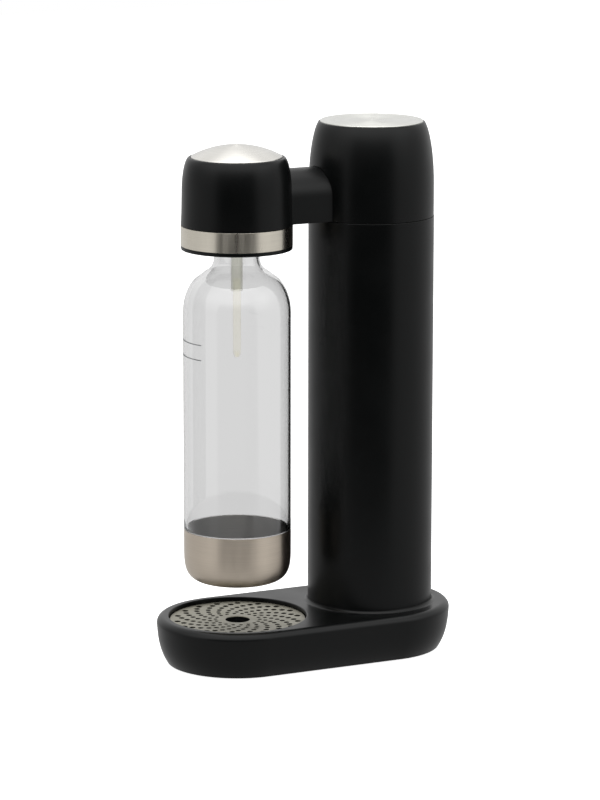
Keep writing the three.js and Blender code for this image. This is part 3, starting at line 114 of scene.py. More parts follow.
def bare_material(name):
    """A new material, its node tree, and the one output in it, a point's place on the piece."""
    material = bpy.data.materials.new(name)
    material.use_nodes = True
    material.node_tree.nodes.clear()
    return material, material.node_tree, add_node(material.node_tree, "TexCoord").outputs["Object"]


def soft_step(tree, place, way, edges, low=0.0, high=1.0):
    """Goes softly from low to high as a place, or a direction, lies further along the given way."""
    along = add_node(tree, "VectorMath", {0: place, 1: way}, operation="DOT_PRODUCT")
    step = add_node(
        tree, "MapRange",
        {"Value": along.outputs["Value"], "From Min": edges[0], "From Max": edges[1],
         "To Min": low, "To Max": high},
        interpolation_type="SMOOTHSTEP",
    )
    return step.outputs["Result"]


bpy.ops.object.select_all(action="DESELECT")
bpy.ops.mesh.primitive_plane_add(size=FLOOR_SIZE)
floor = bpy.context.object
floor.name = "floor"
paper, paper_tree, spot = bare_material("matt_studio_paper")
paper_rays = add_node(paper_tree, "LightPath").outputs
mirrored, through = paper_rays["Is Glossy Ray"], paper_rays["Is Transmission Ray"]
outwards = add_node(paper_tree, "VectorMath", {0: spot}, operation="NORMALIZE")
front = turn @ Vector((0, -1, 0))
ahead = soft_step(paper_tree, outwards.outputs[0], front, DARK_ANGLES)
beyond = soft_step(paper_tree, spot, front, PAPER_EDGE)
dark = add_node(paper_tree, "Math", {0: ahead, 1: beyond}, operation="MULTIPLY")
lit = add_node(paper_tree, "Math", {0: 1.0, 1: dark.outputs[0]}, operation="SUBTRACT")
plain = add_node(paper_tree, "Math", {0: 1.0, 1: through}, operation="SUBTRACT")
plain = add_node(paper_tree, "Math", {0: plain.outputs[0], 1: mirrored}, operation="SUBTRACT", use_clamp=True)
white = add_node(
    paper_tree, "Mix", {"Factor": plain.outputs[0], 6: UNLIT, 7: linear(PAPER_WHITE)}, data_type="RGBA",
)
direct = add_node(paper_tree, "Math", {0: paper_rays["Is Camera Ray"], 1: PAPER_GLOW}, operation="MULTIPLY")
mirror = add_node(paper_tree, "Math", {0: mirrored, 1: PAPER_MIRRORED}, operation="MULTIPLY")
mirror = add_node(paper_tree, "Math", {0: mirror.outputs[0], 1: lit.outputs[0]}, operation="MULTIPLY")
glow = add_node(paper_tree, "Math", {0: direct.outputs[0], 1: mirror.outputs[0]}, operation="MAXIMUM")
glow = add_node(paper_tree, "Mix", {"Factor": through, 2: glow.outputs[0], 3: SEEN_THROUGH})
matt = add_node(paper_tree, "BsdfDiffuse", {"Color": white.outputs[2]})
light = add_node(paper_tree, "Emission", {"Strength": glow.outputs[0]})
both = add_node(paper_tree, "AddShader", {0: matt.outputs[0], 1: light.outputs[0]})
add_node(paper_tree, "OutputMaterial", {"Surface": both.outputs[0]})
floor.data.materials.append(paper)

# Studio: a white room that reflections see, brighter behind the machine, on its right, on the ceiling ahead
# and most of all overhead, with a dark gap between the walls where the camera stands. The camera gets plain
# white, the bottle shows the tone of the paper, and an even light comes from all sides and from above.
WALL_BRIGHTNESS = 0.62
BACKDROP_BRIGHTNESS = 0.9
GAP_BRIGHTNESS = 0.03
CEILING_BEHIND = 1.3
CEILING_AHEAD = 2.4
OVERHEAD_BRIGHTNESS = 3.0
FILL_BRIGHTNESS = 0.35
SKY_BRIGHTNESS = 1.0
GAP_EDGES = (0.69, 0.79)
BACKDROP_EDGES = (0.3, 0.85)
CEILING_EDGES = (0.02, 0.58)
SKY_EDGES = (0.12, 0.65)
AHEAD_EDGES = (-0.2, 0.5)
GAP_HEIGHTS = (0.2, 0.45)
OVERHEAD_EDGES = (0.78, 0.98)
RIGHT_EDGES = (0.6, 0.9)
RIGHT_LIFT = 1.25
world = bpy.data.worlds.new("studio_room")
scene.world = world
world.use_nodes = True
room_tree = world.node_tree
room_tree.nodes.clear()
direction = add_node(room_tree, "TexCoord").outputs["Generated"]
up, to_right = Vector((0, 0, 1)), turn @ Vector((1, 0, 0))
wall = soft_step(room_tree, direction, -front, BACKDROP_EDGES, WALL_BRIGHTNESS, BACKDROP_BRIGHTNESS)
gap = soft_step(room_tree, direction, front, GAP_EDGES, 0.0, 1.0 - GAP_BRIGHTNESS)
low_down = soft_step(room_tree, direction, up, GAP_HEIGHTS, 1.0, 0.0)
overhead = soft_step(room_tree, direction, up, CEILING_EDGES)
sky = soft_step(room_tree, direction, up, SKY_EDGES, FILL_BRIGHTNESS, FILL_BRIGHTNESS + SKY_BRIGHTNESS)
right = soft_step(room_tree, direction, to_right, RIGHT_EDGES, 1.0, RIGHT_LIFT)
ceiling = soft_step(room_tree, direction, front, AHEAD_EDGES, CEILING_BEHIND, CEILING_AHEAD)
zenith = soft_step(room_tree, direction, up, OVERHEAD_EDGES)
ceiling = add_node(room_tree, "Mix", {"Factor": zenith, 2: ceiling, 3: OVERHEAD_BRIGHTNESS})
room = add_node(room_tree, "Mix", {"Factor": overhead, 2: wall, 3: ceiling.outputs[0]})
room = add_node(room_tree, "Math", {0: room.outputs[0], 1: right}, operation="MULTIPLY")
hole = add_node(room_tree, "Math", {0: gap, 1: low_down}, operation="MULTIPLY")
hole = add_node(room_tree, "Math", {0: 1.0, 1: hole.outputs[0]}, operation="SUBTRACT")
room = add_node(room_tree, "Math", {0: room.outputs[0], 1: hole.outputs[0]}, operation="MULTIPLY")
room_rays = add_node(room_tree, "LightPath").outputs
strength = add_node(room_tree, "Mix", {"Factor": room_rays["Is Glossy Ray"], 2: sky, 3: room.outputs[0]})
strength = add_node(
    room_tree, "Mix", {"Factor": room_rays["Is Transmission Ray"], 2: strength.outputs[0], 3: SEEN_THROUGH},
)
strength = add_node(room_tree, "Mix", {"Factor": room_rays["Is Camera Ray"], 2: strength.outputs[0], 3: 1.0})
background = add_node(room_tree, "Background", {"Strength": strength.outputs[0], "Color": (1, 1, 1, 1)})
add_node(room_tree, "OutputWorld", {"Surface": background.outputs[0]})

# Lamps: a large soft box on each side, aimed at the middle of the machine. They only light it: reflections
# and rays through the bottle don't see them. Each has the way and the height that it shines from, its
# distance in metres, its width and height in metres, and its watts.
LAMPS = [
    ("left_soft_box", -150, 30, 1.8, (1.2, 1.4), 5),
    ("right_soft_box", 22, 14, 1.1, (0.7, 0.9), 2.6),
]
for name, bearing, height, distance, size, watts in LAMPS:
    bpy.ops.object.select_all(action="DESELECT")
    bpy.ops.object.light_add(type="AREA")
    lamp = bpy.context.object
    lamp.name = name
    lamp.data.shape = "RECTANGLE"
    lamp.data.size, lamp.data.size_y = size
    lamp.data.energy = watts
    lamp.visible_glossy = False
    lamp.visible_transmission = False
    around = Matrix.Rotation(math.radians(bearing), 4, "Z")
    around = around @ Matrix.Rotation(math.radians(90 - height), 4, "Y")
    stand = around @ Vector((0, 0, distance)) + machine_middle
    shining = (stand - machine_middle).to_track_quat("Z", "Y")
    lamp.matrix_world = Matrix.Translation(stand) @ shining.to_matrix().to_4x4()

# Base housing: the long rounded foot, injection moulded in black ABS with a fine satin texture.
# Its side leans and tucks in at the bottom, the rim is rounded, a well holds the tray at the front, and the
# column drops into a socket at the rear, which ends in a small fillet round it.
SIDES = 128
BEVEL_STEPS = 3
EDGE_NEAR = 0.02 * MM
LEVEL_NEAR = 0.001 * MM
CREASE_ANGLE = 32
OVERLAP = 1 * MM
GAP = 0.3 * MM
BASE_TAPER = 2.15 * MM
BASE_TUCK = 6.64 * MM
BASE_WALL = 2.2 * MM
SIDE_STEPS = 10
RIM_ROUND = 5.5 * MM
RIM_STEPS = 8
WELL_EDGE = 1.0 * MM
WELL_EDGE_ANGLES = (0.4, 0.8, 1.2)
WELL_PLAY = 0.8 * MM
WELL_DEPTH = 25.5 * MM
WELL_WALL = 2 * MM
COLLAR_FILLET = 2.8 * MM
COLLAR_LIP = 0.2 * MM
FILLET_STEPS = 10
LEDGE_DEPTH = 7.5 * MM
LEDGE_WIDTH = 4 * MM
LEDGE_T = 2.7 * MM
SOCKET_PLAY = 0.12 * MM
SOCKET_WALL = 2.5 * MM
base_low, base_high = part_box("base_housing")
tube_low, tube_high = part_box("column_tube")
grille_low, grille_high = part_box("drip_grille")
BASE_R = base_high.x
COLUMN_R = tube_high.x
COLUMN_Y = base_high.y - BASE_R
HEAD_Y = base_low.y + BASE_R
GRILLE_R = grille_high.x
BASE_TOP = base_high.z - COLLAR_FILLET
BELLY_Z = BASE_TOP - RIM_ROUND


def base_radius(height):
    """Radius of the base's round ends at a height: a light taper, and a tuck that grows towards the floor."""
    share = max(0.0, (BELLY_Z - height) / BELLY_Z)
    return BASE_R - BASE_TAPER * share - BASE_TUCK * share ** 3


def quarter(corner_r, corner_z, reach_r, reach_z, steps):
    """Points on a quarter ellipse, from beside its corner up to a point straight above it."""
    angles = [math.pi / 2 * i / steps for i in range(steps + 1)]
    return [(corner_r + reach_r * math.cos(a), corner_z + reach_z * math.sin(a)) for a in angles]


def select_only(piece):
    """Selects one piece alone and makes it the active one."""
    bpy.ops.object.select_all(action="DESELECT")
    bpy.context.view_layer.objects.active = piece
    piece.select_set(True)


def new_ring(name, **how):
    """Adds a ring, names it, puts its place into its mesh and opens it in edit mode, all selected."""
    bpy.ops.object.select_all(action="DESELECT")
    bpy.ops.mesh.primitive_circle_add(**how)
    piece = bpy.context.object
    piece.name = name
    piece.data.name = name
    bpy.ops.object.transform_apply(location=True, rotation=True, scale=True)
    bpy.ops.object.mode_set(mode="EDIT")
    bpy.ops.mesh.select_all(action="SELECT")
    return piece


def pick_edges(piece, wanted):
    """Selects, in edit mode, the edges whose two ends both pass a test on their place."""
    mesh = bmesh.from_edit_mesh(piece.data)
    bpy.ops.mesh.select_all(action="DESELECT")
    bpy.ops.mesh.select_mode(type="EDGE")
    for edge in mesh.edges:
        if all(wanted(vert.co) for vert in edge.verts):
            edge.select_set(True)
    bmesh.update_edit_mesh(piece.data)


def faces_outwards():
    """Turns all faces of the mesh in edit mode outwards."""
    bpy.ops.mesh.select_all(action="SELECT")
    bpy.ops.mesh.normals_make_consistent(inside=False)


def close_up(bridged):
    """Bridges the two open ends of a tube, or fills each of them, then turns all faces outwards."""
    bpy.ops.mesh.select_all(action="DESELECT")
    bpy.ops.mesh.select_mode(type="EDGE")
    bpy.ops.mesh.select_non_manifold(extend=False, use_wire=False, use_boundary=True)
    if bridged:
        bpy.ops.mesh.bridge_edge_loops()
    else:
        bpy.ops.mesh.select_all(action="SELECT")
        bpy.ops.mesh.fill_holes(sides=0)
    faces_outwards()


def turned(name, centre_y, profile, bridged=False, rounded=(), sides=SIDES, centre_x=0.0):
    """Draws a ring and pulls it from level to level, as on a lathe. The profile is radius and height.
    Each rounded entry is radius, height and size of an edge that is bevelled afterwards."""
    first_r, first_z = profile[0]
    piece = new_ring(name, vertices=sides, radius=first_r, location=(centre_x, centre_y, first_z))
    for (old_r, old_z), (new_r, new_z) in zip(profile, profile[1:]):
        bpy.ops.mesh.extrude_region_move(TRANSFORM_OT_translate={"value": (0, 0, new_z - old_z)})
        share = new_r / old_r
        bpy.ops.transform.resize(value=(share, share, 1), center_override=(centre_x, centre_y, new_z))
    close_up(bridged)
    for edge_r, edge_z, size in rounded:

        def on_edge(place):
            radius = math.hypot(place.x - centre_x, place.y - centre_y)
            return abs(place.z - edge_z) < EDGE_NEAR and abs(radius - edge_r) < EDGE_NEAR

        pick_edges(piece, on_edge)
        bpy.ops.mesh.bevel(offset=size, segments=BEVEL_STEPS, affect="EDGES")
    bpy.ops.object.mode_set(mode="OBJECT")
    return piece


def long_round(name, profile):
    """Draws a ring, parts its halves to the two ends of the base, and pulls it from level to level.
    The profile is the radius of the ends and the height."""
    first_r, first_z = profile[0]
    piece = new_ring(
        name, vertices=SIDES, radius=first_r, location=(0, 0, first_z), rotation=(0, 0, math.pi / SIDES),
    )
    ends = ((COLUMN_Y, 1), (HEAD_Y, -1))

    def pick_end(side, height):
        pick_edges(piece, lambda place: place.y * side > 0 and abs(place.z - height) < LEVEL_NEAR)

    for end_y, side in ends:
        pick_end(side, first_z)
        bpy.ops.transform.translate(value=(0, end_y, 0))
    for (old_r, old_z), (new_r, new_z) in zip(profile, profile[1:]):
        pick_edges(piece, lambda place: abs(place.z - old_z) < LEVEL_NEAR)
        bpy.ops.mesh.extrude_region_move(TRANSFORM_OT_translate={"value": (0, 0, new_z - old_z)})
        share = new_r / old_r
        for end_y, side in ends:
            pick_end(side, new_z)
            bpy.ops.transform.resize(value=(share, share, 1), center_override=(0, end_y, new_z))
    close_up(bridged=False)
    bpy.ops.object.mode_set(mode="OBJECT")
    return piece


def combine(piece, other, operation):
    """Joins another solid to a piece, or cuts it away, and removes that solid."""
    select_only(piece)
    step = piece.modifiers.new(operation.lower(), "BOOLEAN")
    step.operation = operation
    step.object = other
    step.solver = "EXACT"
    bpy.ops.object.modifier_apply(modifier=step.name)
    bpy.data.objects.remove(other)


def coat(piece, material):
    """Gives a piece one material, in place of any that it has."""
    piece.data.materials.clear()
    piece.data.materials.append(material)


def fit(piece, material, body, slot, *nodes):
    """Finishes a piece: smooth faces with crisp edges, its material, and its place among the parts."""
    select_only(piece)
    bpy.ops.object.shade_smooth_by_angle(angle=math.radians(CREASE_ANGLE))
    even = piece.modifiers.new("even_shading", "WEIGHTED_NORMAL")
    even.keep_sharp = True
    bpy.ops.object.modifier_apply(modifier=even.name)
    coat(piece, material)
    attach(piece, body)
    if nodes:
        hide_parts(*nodes)


# The moulded black: ABS with a spark-eroded texture gives a satin face, dark head-on and grey at its edges.
# The real grain is 0.2 mm; it is drawn at 0.8 mm so that it shows, with slow patches from the moulding.
ABS_BLACK = "#060707"
ABS_IOR = 1.53
ABS_GRAIN = 0.8 * MM
MOULD_PATCH = 30 * MM
MOULD_DRIFT = (-0.03, 0.04)
GRAIN_LIGHT = 1.35
NOISE_SPAN = {"From Min": 0.3, "From Max": 0.7}


def surface(tree, relief, depth, looks):
    """Ends a material: a shader with the given looks, over a relief of the given depth."""
    bump = add_node(tree, "Bump", {"Height": relief, "Strength": 1.0, "Distance": depth})
    shader = add_node(tree, "BsdfPrincipled", {**looks, "Normal": bump.outputs["Normal"]})
    add_node(tree, "OutputMaterial", {"Surface": shader.outputs[0]})
    return shader


def moulded(name, colour, roughness, grain, depth, ior=ABS_IOR, gloss=0.5):
    """A moulded plastic or rubber: plain colour, fine grain, and a roughness that drifts in slow patches."""
    material, tree, place = bare_material(name)
    speckle = add_node(tree, "TexNoise", {"Vector": place, "Scale": 1 / grain, "Detail": 2.0})
    patch = add_node(tree, "TexNoise", {"Vector": place, "Scale": 1 / MOULD_PATCH, "Detail": 3.0})
    drift = add_node(
        tree, "MapRange",
        {"Value": patch.outputs["Fac"], **NOISE_SPAN,
         "To Min": roughness + MOULD_DRIFT[0], "To Max": roughness + MOULD_DRIFT[1]},
    )
    lighter = [value * GRAIN_LIGHT for value in linear(colour)[:3]] + [1.0]
    tint = add_node(
        tree, "Mix", {"Factor": speckle.outputs["Fac"], 6: linear(colour), 7: lighter}, data_type="RGBA",
    )
    surface(
        tree, speckle.outputs["Fac"], depth,
        {"Base Color": tint.outputs[2], "Roughness": drift.outputs["Result"], "IOR": ior,
         "Specular IOR Level": gloss},
    )
    return material


black_abs = moulded(
    "satin_moulded_abs", ABS_BLACK, roughness=0.31, grain=ABS_GRAIN, depth=0.01 * MM, gloss=0.16,
)

# The shell, hollowed from below.
side_heights = [base_low.z + (BELLY_Z - base_low.z) * i / SIDE_STEPS for i in range(SIDE_STEPS)]
outer = [(base_radius(height), height) for height in side_heights]
outer += quarter(BASE_R - RIM_ROUND, BELLY_Z, RIM_ROUND, RIM_ROUND, RIM_STEPS)
housing = long_round("base_shell", outer)
inner = [(base_radius(height) - BASE_WALL, height) for height in side_heights]
inner[0] = (inner[0][0], base_low.z - OVERLAP)
inner.append((BASE_R - RIM_ROUND, BASE_TOP - BASE_WALL))
combine(housing, long_round("base_hollow", inner), "DIFFERENCE")

# The well for the tray, with its edge rounded over.
well_r = GRILLE_R + WELL_PLAY
well_floor = BASE_TOP - WELL_DEPTH
well_body_r = well_r + WELL_WALL
well_body = turned(
    "well_body", HEAD_Y, [(well_body_r, well_floor - WELL_WALL), (well_body_r, BASE_TOP - OVERLAP)],
)
combine(housing, well_body, "UNION")
well_cut = [(well_r, well_floor), (well_r, BASE_TOP - WELL_EDGE)]
well_cut += [
    (well_r + WELL_EDGE - WELL_EDGE * math.cos(a), BASE_TOP - WELL_EDGE + WELL_EDGE * math.sin(a))
    for a in WELL_EDGE_ANGLES
]
well_cut += [(well_r + WELL_EDGE, BASE_TOP), (well_r + WELL_EDGE, BASE_TOP + 2 * OVERLAP)]
combine(housing, turned("well_cut", HEAD_Y, well_cut), "DIFFERENCE")

# The socket for the column, with its ledge inside and its fillet outside.
ledge_z = BASE_TOP - LEDGE_DEPTH
socket_r = COLUMN_R + SOCKET_PLAY
fillet_r = socket_r + COLLAR_LIP + COLLAR_FILLET
socket_line = [(COLUMN_R + SOCKET_WALL, ledge_z - LEDGE_T), (COLUMN_R + SOCKET_WALL, BASE_TOP - OVERLAP)]
socket_line += [(fillet_r, BASE_TOP - OVERLAP)]
socket_line += [
    (fillet_r - COLLAR_FILLET * math.sin(a), BASE_TOP + COLLAR_FILLET * (1 - math.cos(a)))
    for a in [math.pi / 2 * i / FILLET_STEPS for i in range(FILLET_STEPS + 1)]
]
combine(housing, turned("column_socket", COLUMN_Y, socket_line), "UNION")
seat = turned(
    "column_seat", COLUMN_Y,
    [
        (COLUMN_R - LEDGE_WIDTH, ledge_z - 2 * LEDGE_T), (COLUMN_R - LEDGE_WIDTH, ledge_z),
        (socket_r, ledge_z), (socket_r, BASE_TOP + 5 * OVERLAP),
    ],
)
combine(housing, seat, "DIFFERENCE")
fit(housing, black_abs, "machine", "black_abs", "base_housing")

# Base plate: a glass-filled ABS cover screwed under the housing, with the round opening for the gas cylinder.
# It is moulded flat, with its edges broken. The glass fibres leave it matt, in a plain dark grey.
UNDERSIDE_BLACK = "#16181a"
matt_black = moulded(
    "matt_glass_filled_abs", UNDERSIDE_BLACK, roughness=0.55, grain=0.6 * MM, depth=0.02 * MM,
)
PLATE_CHAMFER = 0.6 * MM
BREAK_STEPS = 2
SHARP_ANGLE = 40
MERGE_WITHIN = 0.005 * MM
FLAT_WITHIN = 1


def plain_copy(name, node):
    """Copies a part's own solid, with its loose triangles merged into one skin."""
    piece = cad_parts[node].copy()
    piece.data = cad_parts[node].data.copy()
    for key in list(piece.keys()):
        del piece[key]
    bpy.context.collection.objects.link(piece)
    piece.name = name
    piece.data.name = name
    piece.parent = None
    select_only(piece)
    bpy.ops.object.mode_set(mode="EDIT")
    bpy.ops.mesh.select_all(action="SELECT")
    bpy.ops.mesh.remove_doubles(threshold=MERGE_WITHIN)
    bpy.ops.mesh.dissolve_limited(angle_limit=math.radians(FLAT_WITHIN))
    bpy.ops.object.mode_set(mode="OBJECT")
    return piece


def broken_edges(piece, size, angle=SHARP_ANGLE):
    """Breaks a piece's sharp edges with a small bevel."""
    select_only(piece)
    bevel = piece.modifiers.new("broken_edges", "BEVEL")
    bevel.width = size
    bevel.segments = BREAK_STEPS
    bevel.limit_method = "ANGLE"
    bevel.angle_limit = math.radians(angle)
    bpy.ops.object.modifier_apply(modifier=bevel.name)


plate = plain_copy("base_cover", "base_plate")
broken_edges(plate, PLATE_CHAMFER)
fit(plate, matt_black, "machine", "matt_black", "base_plate")

# Cylinder door: a disc moulded in the same glass-filled ABS, with a grip bar sunk across it.
# It closes the opening under the gas cylinder, and three lugs lock it there after a short turn.
door = plain_copy("bayonet_door", "cylinder_door")
broken_edges(door, PLATE_CHAMFER)
fit(door, matt_black, "door", "matt_black", "cylinder_door")

# Feet: four soft rubber pads pressed into pockets of the base plate.
# The rubber is matt and takes a little dust.
RUBBER_BLACK = "#202122"
FOOT_ROUND = 0.9 * MM
FOOT_HOLLOW = 0.25 * MM
FOOT_HOLLOW_SHARE = 0.55
FOOT_FACE_SHARE = 0.6
FOOT_BACK_SHARE = 0.3
FOOT_SIDES = 40
rubber = moulded(
    "matt_nitrile_rubber", RUBBER_BLACK, roughness=0.8, grain=0.5 * MM, depth=0.02 * MM, ior=1.52,
)
for i in range(1, 5):
    low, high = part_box(f"foot_pad_{i}")
    middle = (low + high) / 2
    radius = (high.x - low.x) / 2
    pad = turned(
        f"foot_{i}", middle.y,
        [
            (radius * FOOT_HOLLOW_SHARE, low.z + FOOT_HOLLOW), (radius * FOOT_FACE_SHARE, low.z),
            (radius, low.z), (radius, high.z), (radius * FOOT_BACK_SHARE, high.z),
        ],
        rounded=[(radius, low.z, FOOT_ROUND)], sides=FOOT_SIDES, centre_x=middle.x,
    )
    fit(pad, rubber, "machine", "rubber", f"foot_pad_{i}")

# Hidden metal and plastics: each gets the finish of the real part.
# Zinc plate is bright with a faint spangle, brass is turned, the drawn cylinder is painted with a low gloss,
# and the moulded nylon is a dull dark grey.
ZINC = "#c3c5c7"
BRASS = "#c8a35a"
CYLINDER_PAINT = "#a3b6c4"
NYLON_GREY = "#3a3d40"
STREAK_SHADES = (0.93, 1.04)
METAL_DRIFT = (-0.04, 0.05)


def metal(name, colour, roughness, streak, patch, depth, brushed=0.0, axis_y=None, painted_light_inside=None):
    """A worked metal: fine streaks from brushing or turning, long one way and short across. Where it is
    brushed, its lights stretch across the brushing: up and down a band, or out from the middle of a disc.
    The faces of a cup that look up or towards its axis can get a painted light, a brighter colour."""
    material, tree, place = bare_material(name)
    along = place
    if brushed and axis_y is not None:
        outward = add_node(tree, "VectorMath", {0: place, 1: (0, axis_y, 0)}, operation="SUBTRACT").outputs[0]
        radius = add_node(tree, "VectorMath", {0: outward}, operation="LENGTH")
        along = add_node(tree, "CombineXYZ", {"X": radius.outputs["Value"]}).outputs[0]
    fine = add_node(tree, "Mapping", {"Vector": along, "Scale": [1 / size for size in streak]})
    slow = add_node(tree, "Mapping", {"Vector": place, "Scale": [1 / size for size in patch]})
    lines = add_node(tree, "TexNoise", {"Vector": fine.outputs[0], "Scale": 1.0, "Detail": 3.0})
    waves = add_node(tree, "TexNoise", {"Vector": slow.outputs[0], "Scale": 1.0, "Detail": 2.0})
    shade = add_node(
        tree, "MapRange",
        {"Value": lines.outputs["Fac"], **NOISE_SPAN,
         "To Min": STREAK_SHADES[0], "To Max": STREAK_SHADES[1]},
    )
    base = linear(colour)
    # Painted light: faces that look up or towards the axis get a brighter colour, for the light that reaches
    # inside a cup.
    if painted_light_inside:
        normal = add_node(tree, "NewGeometry").outputs["Normal"]
        level = add_node(tree, "VectorMath", {0: place, 1: (0, HEAD_Y, 0)}, operation="SUBTRACT")
        level = add_node(tree, "VectorMath", {0: level.outputs[0], 1: (1, 1, 0)}, operation="MULTIPLY")
        level = add_node(tree, "VectorMath", {0: level.outputs[0]}, operation="NORMALIZE")
        away = add_node(tree, "VectorMath", {0: level.outputs[0], 1: (0, 0, -1)}, operation="ADD")
        outside = add_node(tree, "VectorMath", {0: away.outputs[0], 1: normal}, operation="DOT_PRODUCT")
        inside = add_node(tree, "Math", {0: outside.outputs["Value"], 1: 0.0}, operation="LESS_THAN")
        base = add_node(
            tree, "Mix", {"Factor": inside.outputs[0], 6: base, 7: linear(painted_light_inside)}, data_type="RGBA",
        ).outputs[2]
    tint = add_node(
        tree, "Mix", {"Factor": 1.0, 6: base, 7: shade.outputs["Result"]},
        data_type="RGBA", blend_type="MULTIPLY",
    )
    rough = add_node(
        tree, "MapRange",
        {"Value": waves.outputs["Fac"], **NOISE_SPAN,
         "To Min": roughness + METAL_DRIFT[0], "To Max": roughness + METAL_DRIFT[1]},
    )
    shader = surface(
        tree, lines.outputs["Fac"], depth,
        {"Base Color": tint.outputs[2], "Metallic": 1.0, "Roughness": rough.outputs["Result"],
         "Anisotropic": brushed},
    )
    if brushed and axis_y is None:
        upright = add_node(tree, "CombineXYZ", {"Z": 1.0})
        tree.links.new(upright.outputs[0], shader.inputs["Tangent"])
    elif brushed:
        tree.links.new(outward, shader.inputs["Tangent"])
    return material


zinc_plate = metal(
    "bright_zinc_plate", ZINC, roughness=0.34, streak=[1.2 * MM] * 3, patch=[4 * MM] * 3, depth=0.004 * MM,
)
turned_brass = metal(
    "turned_brass", BRASS, roughness=0.28, streak=[6 * MM, 6 * MM, 0.3 * MM], patch=[5 * MM] * 3,
    depth=0.004 * MM,
)
nylon = moulded("moulded_grey_nylon", NYLON_GREY, roughness=0.5, grain=0.6 * MM, depth=0.01 * MM)
paint = moulded("baked_cylinder_paint", CYLINDER_PAINT, roughness=0.35, grain=1.5 * MM, depth=0.01 * MM)
hidden = {
    zinc_plate: [
        "valve_pusher", "lever", "lever_pin", "lever_bracket", "valve_block", "arm_beam",
        "bracket_screw_1", "bracket_screw_2", "guide_screw_1", "guide_screw_2",
    ] + [f"{kind}_screw_{i}" for kind in ("base", "arm") for i in range(1, 5)],
    turned_brass: ["cylinder_valve", "hose_nut_1", "hose_nut_2", "relief_valve"],
    nylon: ["inner_frame", "nozzle_holder", "nozzle_nut"],
    matt_black: ["button_carrier", "button_guide"],
    rubber: ["cylinder_seal", "bottle_seal"],
    paint: ["co2_cylinder"],
}
for material, nodes in hidden.items():
    for node in nodes:
        coat(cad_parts[node], material)

# Drip cup: a moulded ABS dish that lifts out of the well, with a drawn-in wall.
# Only its dark inside shows, through the grille.
DRIP_WALL = 1.8 * MM
DRIP_DRAFT = 1.2 * MM
DRIP_FLOOR = 2 * MM
DRIP_HEEL = 1.5 * MM
DRIP_RIM = 0.4 * MM
DRIP_CENTRE_SHARE = 0.05
drip_low, drip_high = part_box("drip_cup")
drip_r = drip_high.x
drip_foot_r = drip_r - DRIP_DRAFT
drip_centre_r = drip_r * DRIP_CENTRE_SHARE
cup = turned(
    "drip_dish", HEAD_Y,
    [
        (drip_centre_r, drip_low.z), (drip_foot_r, drip_low.z), (drip_r, drip_high.z),
        (drip_r - DRIP_WALL, drip_high.z), (drip_foot_r - DRIP_WALL, drip_low.z + DRIP_FLOOR),
        (drip_centre_r, drip_low.z + DRIP_FLOOR),
    ],
    rounded=[(drip_foot_r, drip_low.z, DRIP_HEEL), (drip_r, drip_high.z, DRIP_RIM)],
)
fit(cup, matt_black, "cup", "matt_black", "drip_cup")

# Drip grille: stainless sheet, pressed with a shallow dish and a turned-down lip, then punched. Eighteen arms
# of eight holes swirl in to a finger hole; the holes shrink and close up on the way. The sheet keeps the dull
# grey sheen of its rolling.
GRILLE_DISH = 0.85 * MM
GRILLE_SHEET = 0.4 * MM
GRILLE_LIP = 2.2 * MM
GRILLE_BEND = 1 * MM
GRILLE_ROLL = 0.4 * MM
GRILLE_RINGS = 6
FINGER_HOLE_R = 9.4 * MM
SWIRL_ARMS = 18
SWIRL_HOLES = 8
SWIRL_OUTER_R = 47.0 * MM
SWIRL_INNER_R = 17.1 * MM
SWIRL_TURN = 48.5
SWIRL_START = 95.1
SWIRL_SPREAD = 1.067
HOLE_OUTER_R = 2.45 * MM
HOLE_INNER_R = 1.6 * MM
HOLE_SIDES = 14
PUNCH_LENGTH = 8 * MM
SHEET_STEEL = "#8a877a"


def dish(radius, sheet=0.0):
    """A point on the grille's dished face, or on its underside."""
    return radius, grille_high.z - GRILLE_DISH * (1 - (radius / GRILLE_R) ** 2) - sheet


lip = GRILLE_R - GRILLE_LIP
bend = lip - GRILLE_BEND
rings = [FINGER_HOLE_R + (bend - FINGER_HOLE_R) * i / GRILLE_RINGS for i in range(GRILLE_RINGS + 1)]
sheet = [dish(radius, GRILLE_SHEET) for radius in rings]
sheet += [(bend, grille_low.z), (lip, grille_low.z), dish(lip, GRILLE_SHEET), dish(GRILLE_R, GRILLE_SHEET)]
sheet += [dish(GRILLE_R), dish(lip)] + [dish(radius) for radius in reversed(rings)]
grille = turned(
    "swirl_grille", HEAD_Y, sheet, bridged=True,
    rounded=[(*dish(GRILLE_R), GRILLE_ROLL), (*dish(FINGER_HOLE_R), GRILLE_ROLL)],
)
punches = []
for arm in range(SWIRL_ARMS):
    for i in range(SWIRL_HOLES):
        along = i / (SWIRL_HOLES - 1)
        inward = along ** SWIRL_SPREAD
        radius = SWIRL_OUTER_R + (SWIRL_INNER_R - SWIRL_OUTER_R) * inward
        bearing = math.radians(SWIRL_START + SWIRL_TURN * along + 360 * arm / SWIRL_ARMS)
        bpy.ops.object.select_all(action="DESELECT")
        bpy.ops.mesh.primitive_cylinder_add(
            vertices=HOLE_SIDES, radius=HOLE_OUTER_R + (HOLE_INNER_R - HOLE_OUTER_R) * inward,
            depth=PUNCH_LENGTH,
            location=(radius * math.cos(bearing), HEAD_Y + radius * math.sin(bearing), grille_high.z),
        )
        punches.append(bpy.context.object)
select_only(punches[0])
for punch in punches:
    punch.select_set(True)
bpy.ops.object.join()
combine(grille, punches[0], "DIFFERENCE")
grille_steel = metal(
    "pressed_stainless_sheet", SHEET_STEEL, roughness=0.42, streak=[0.5 * MM, 14 * MM, 2 * MM],
    patch=[9 * MM] * 3, depth=0.006 * MM,
)
fit(grille, grille_steel, "grille", "brushed_steel", "drip_grille")

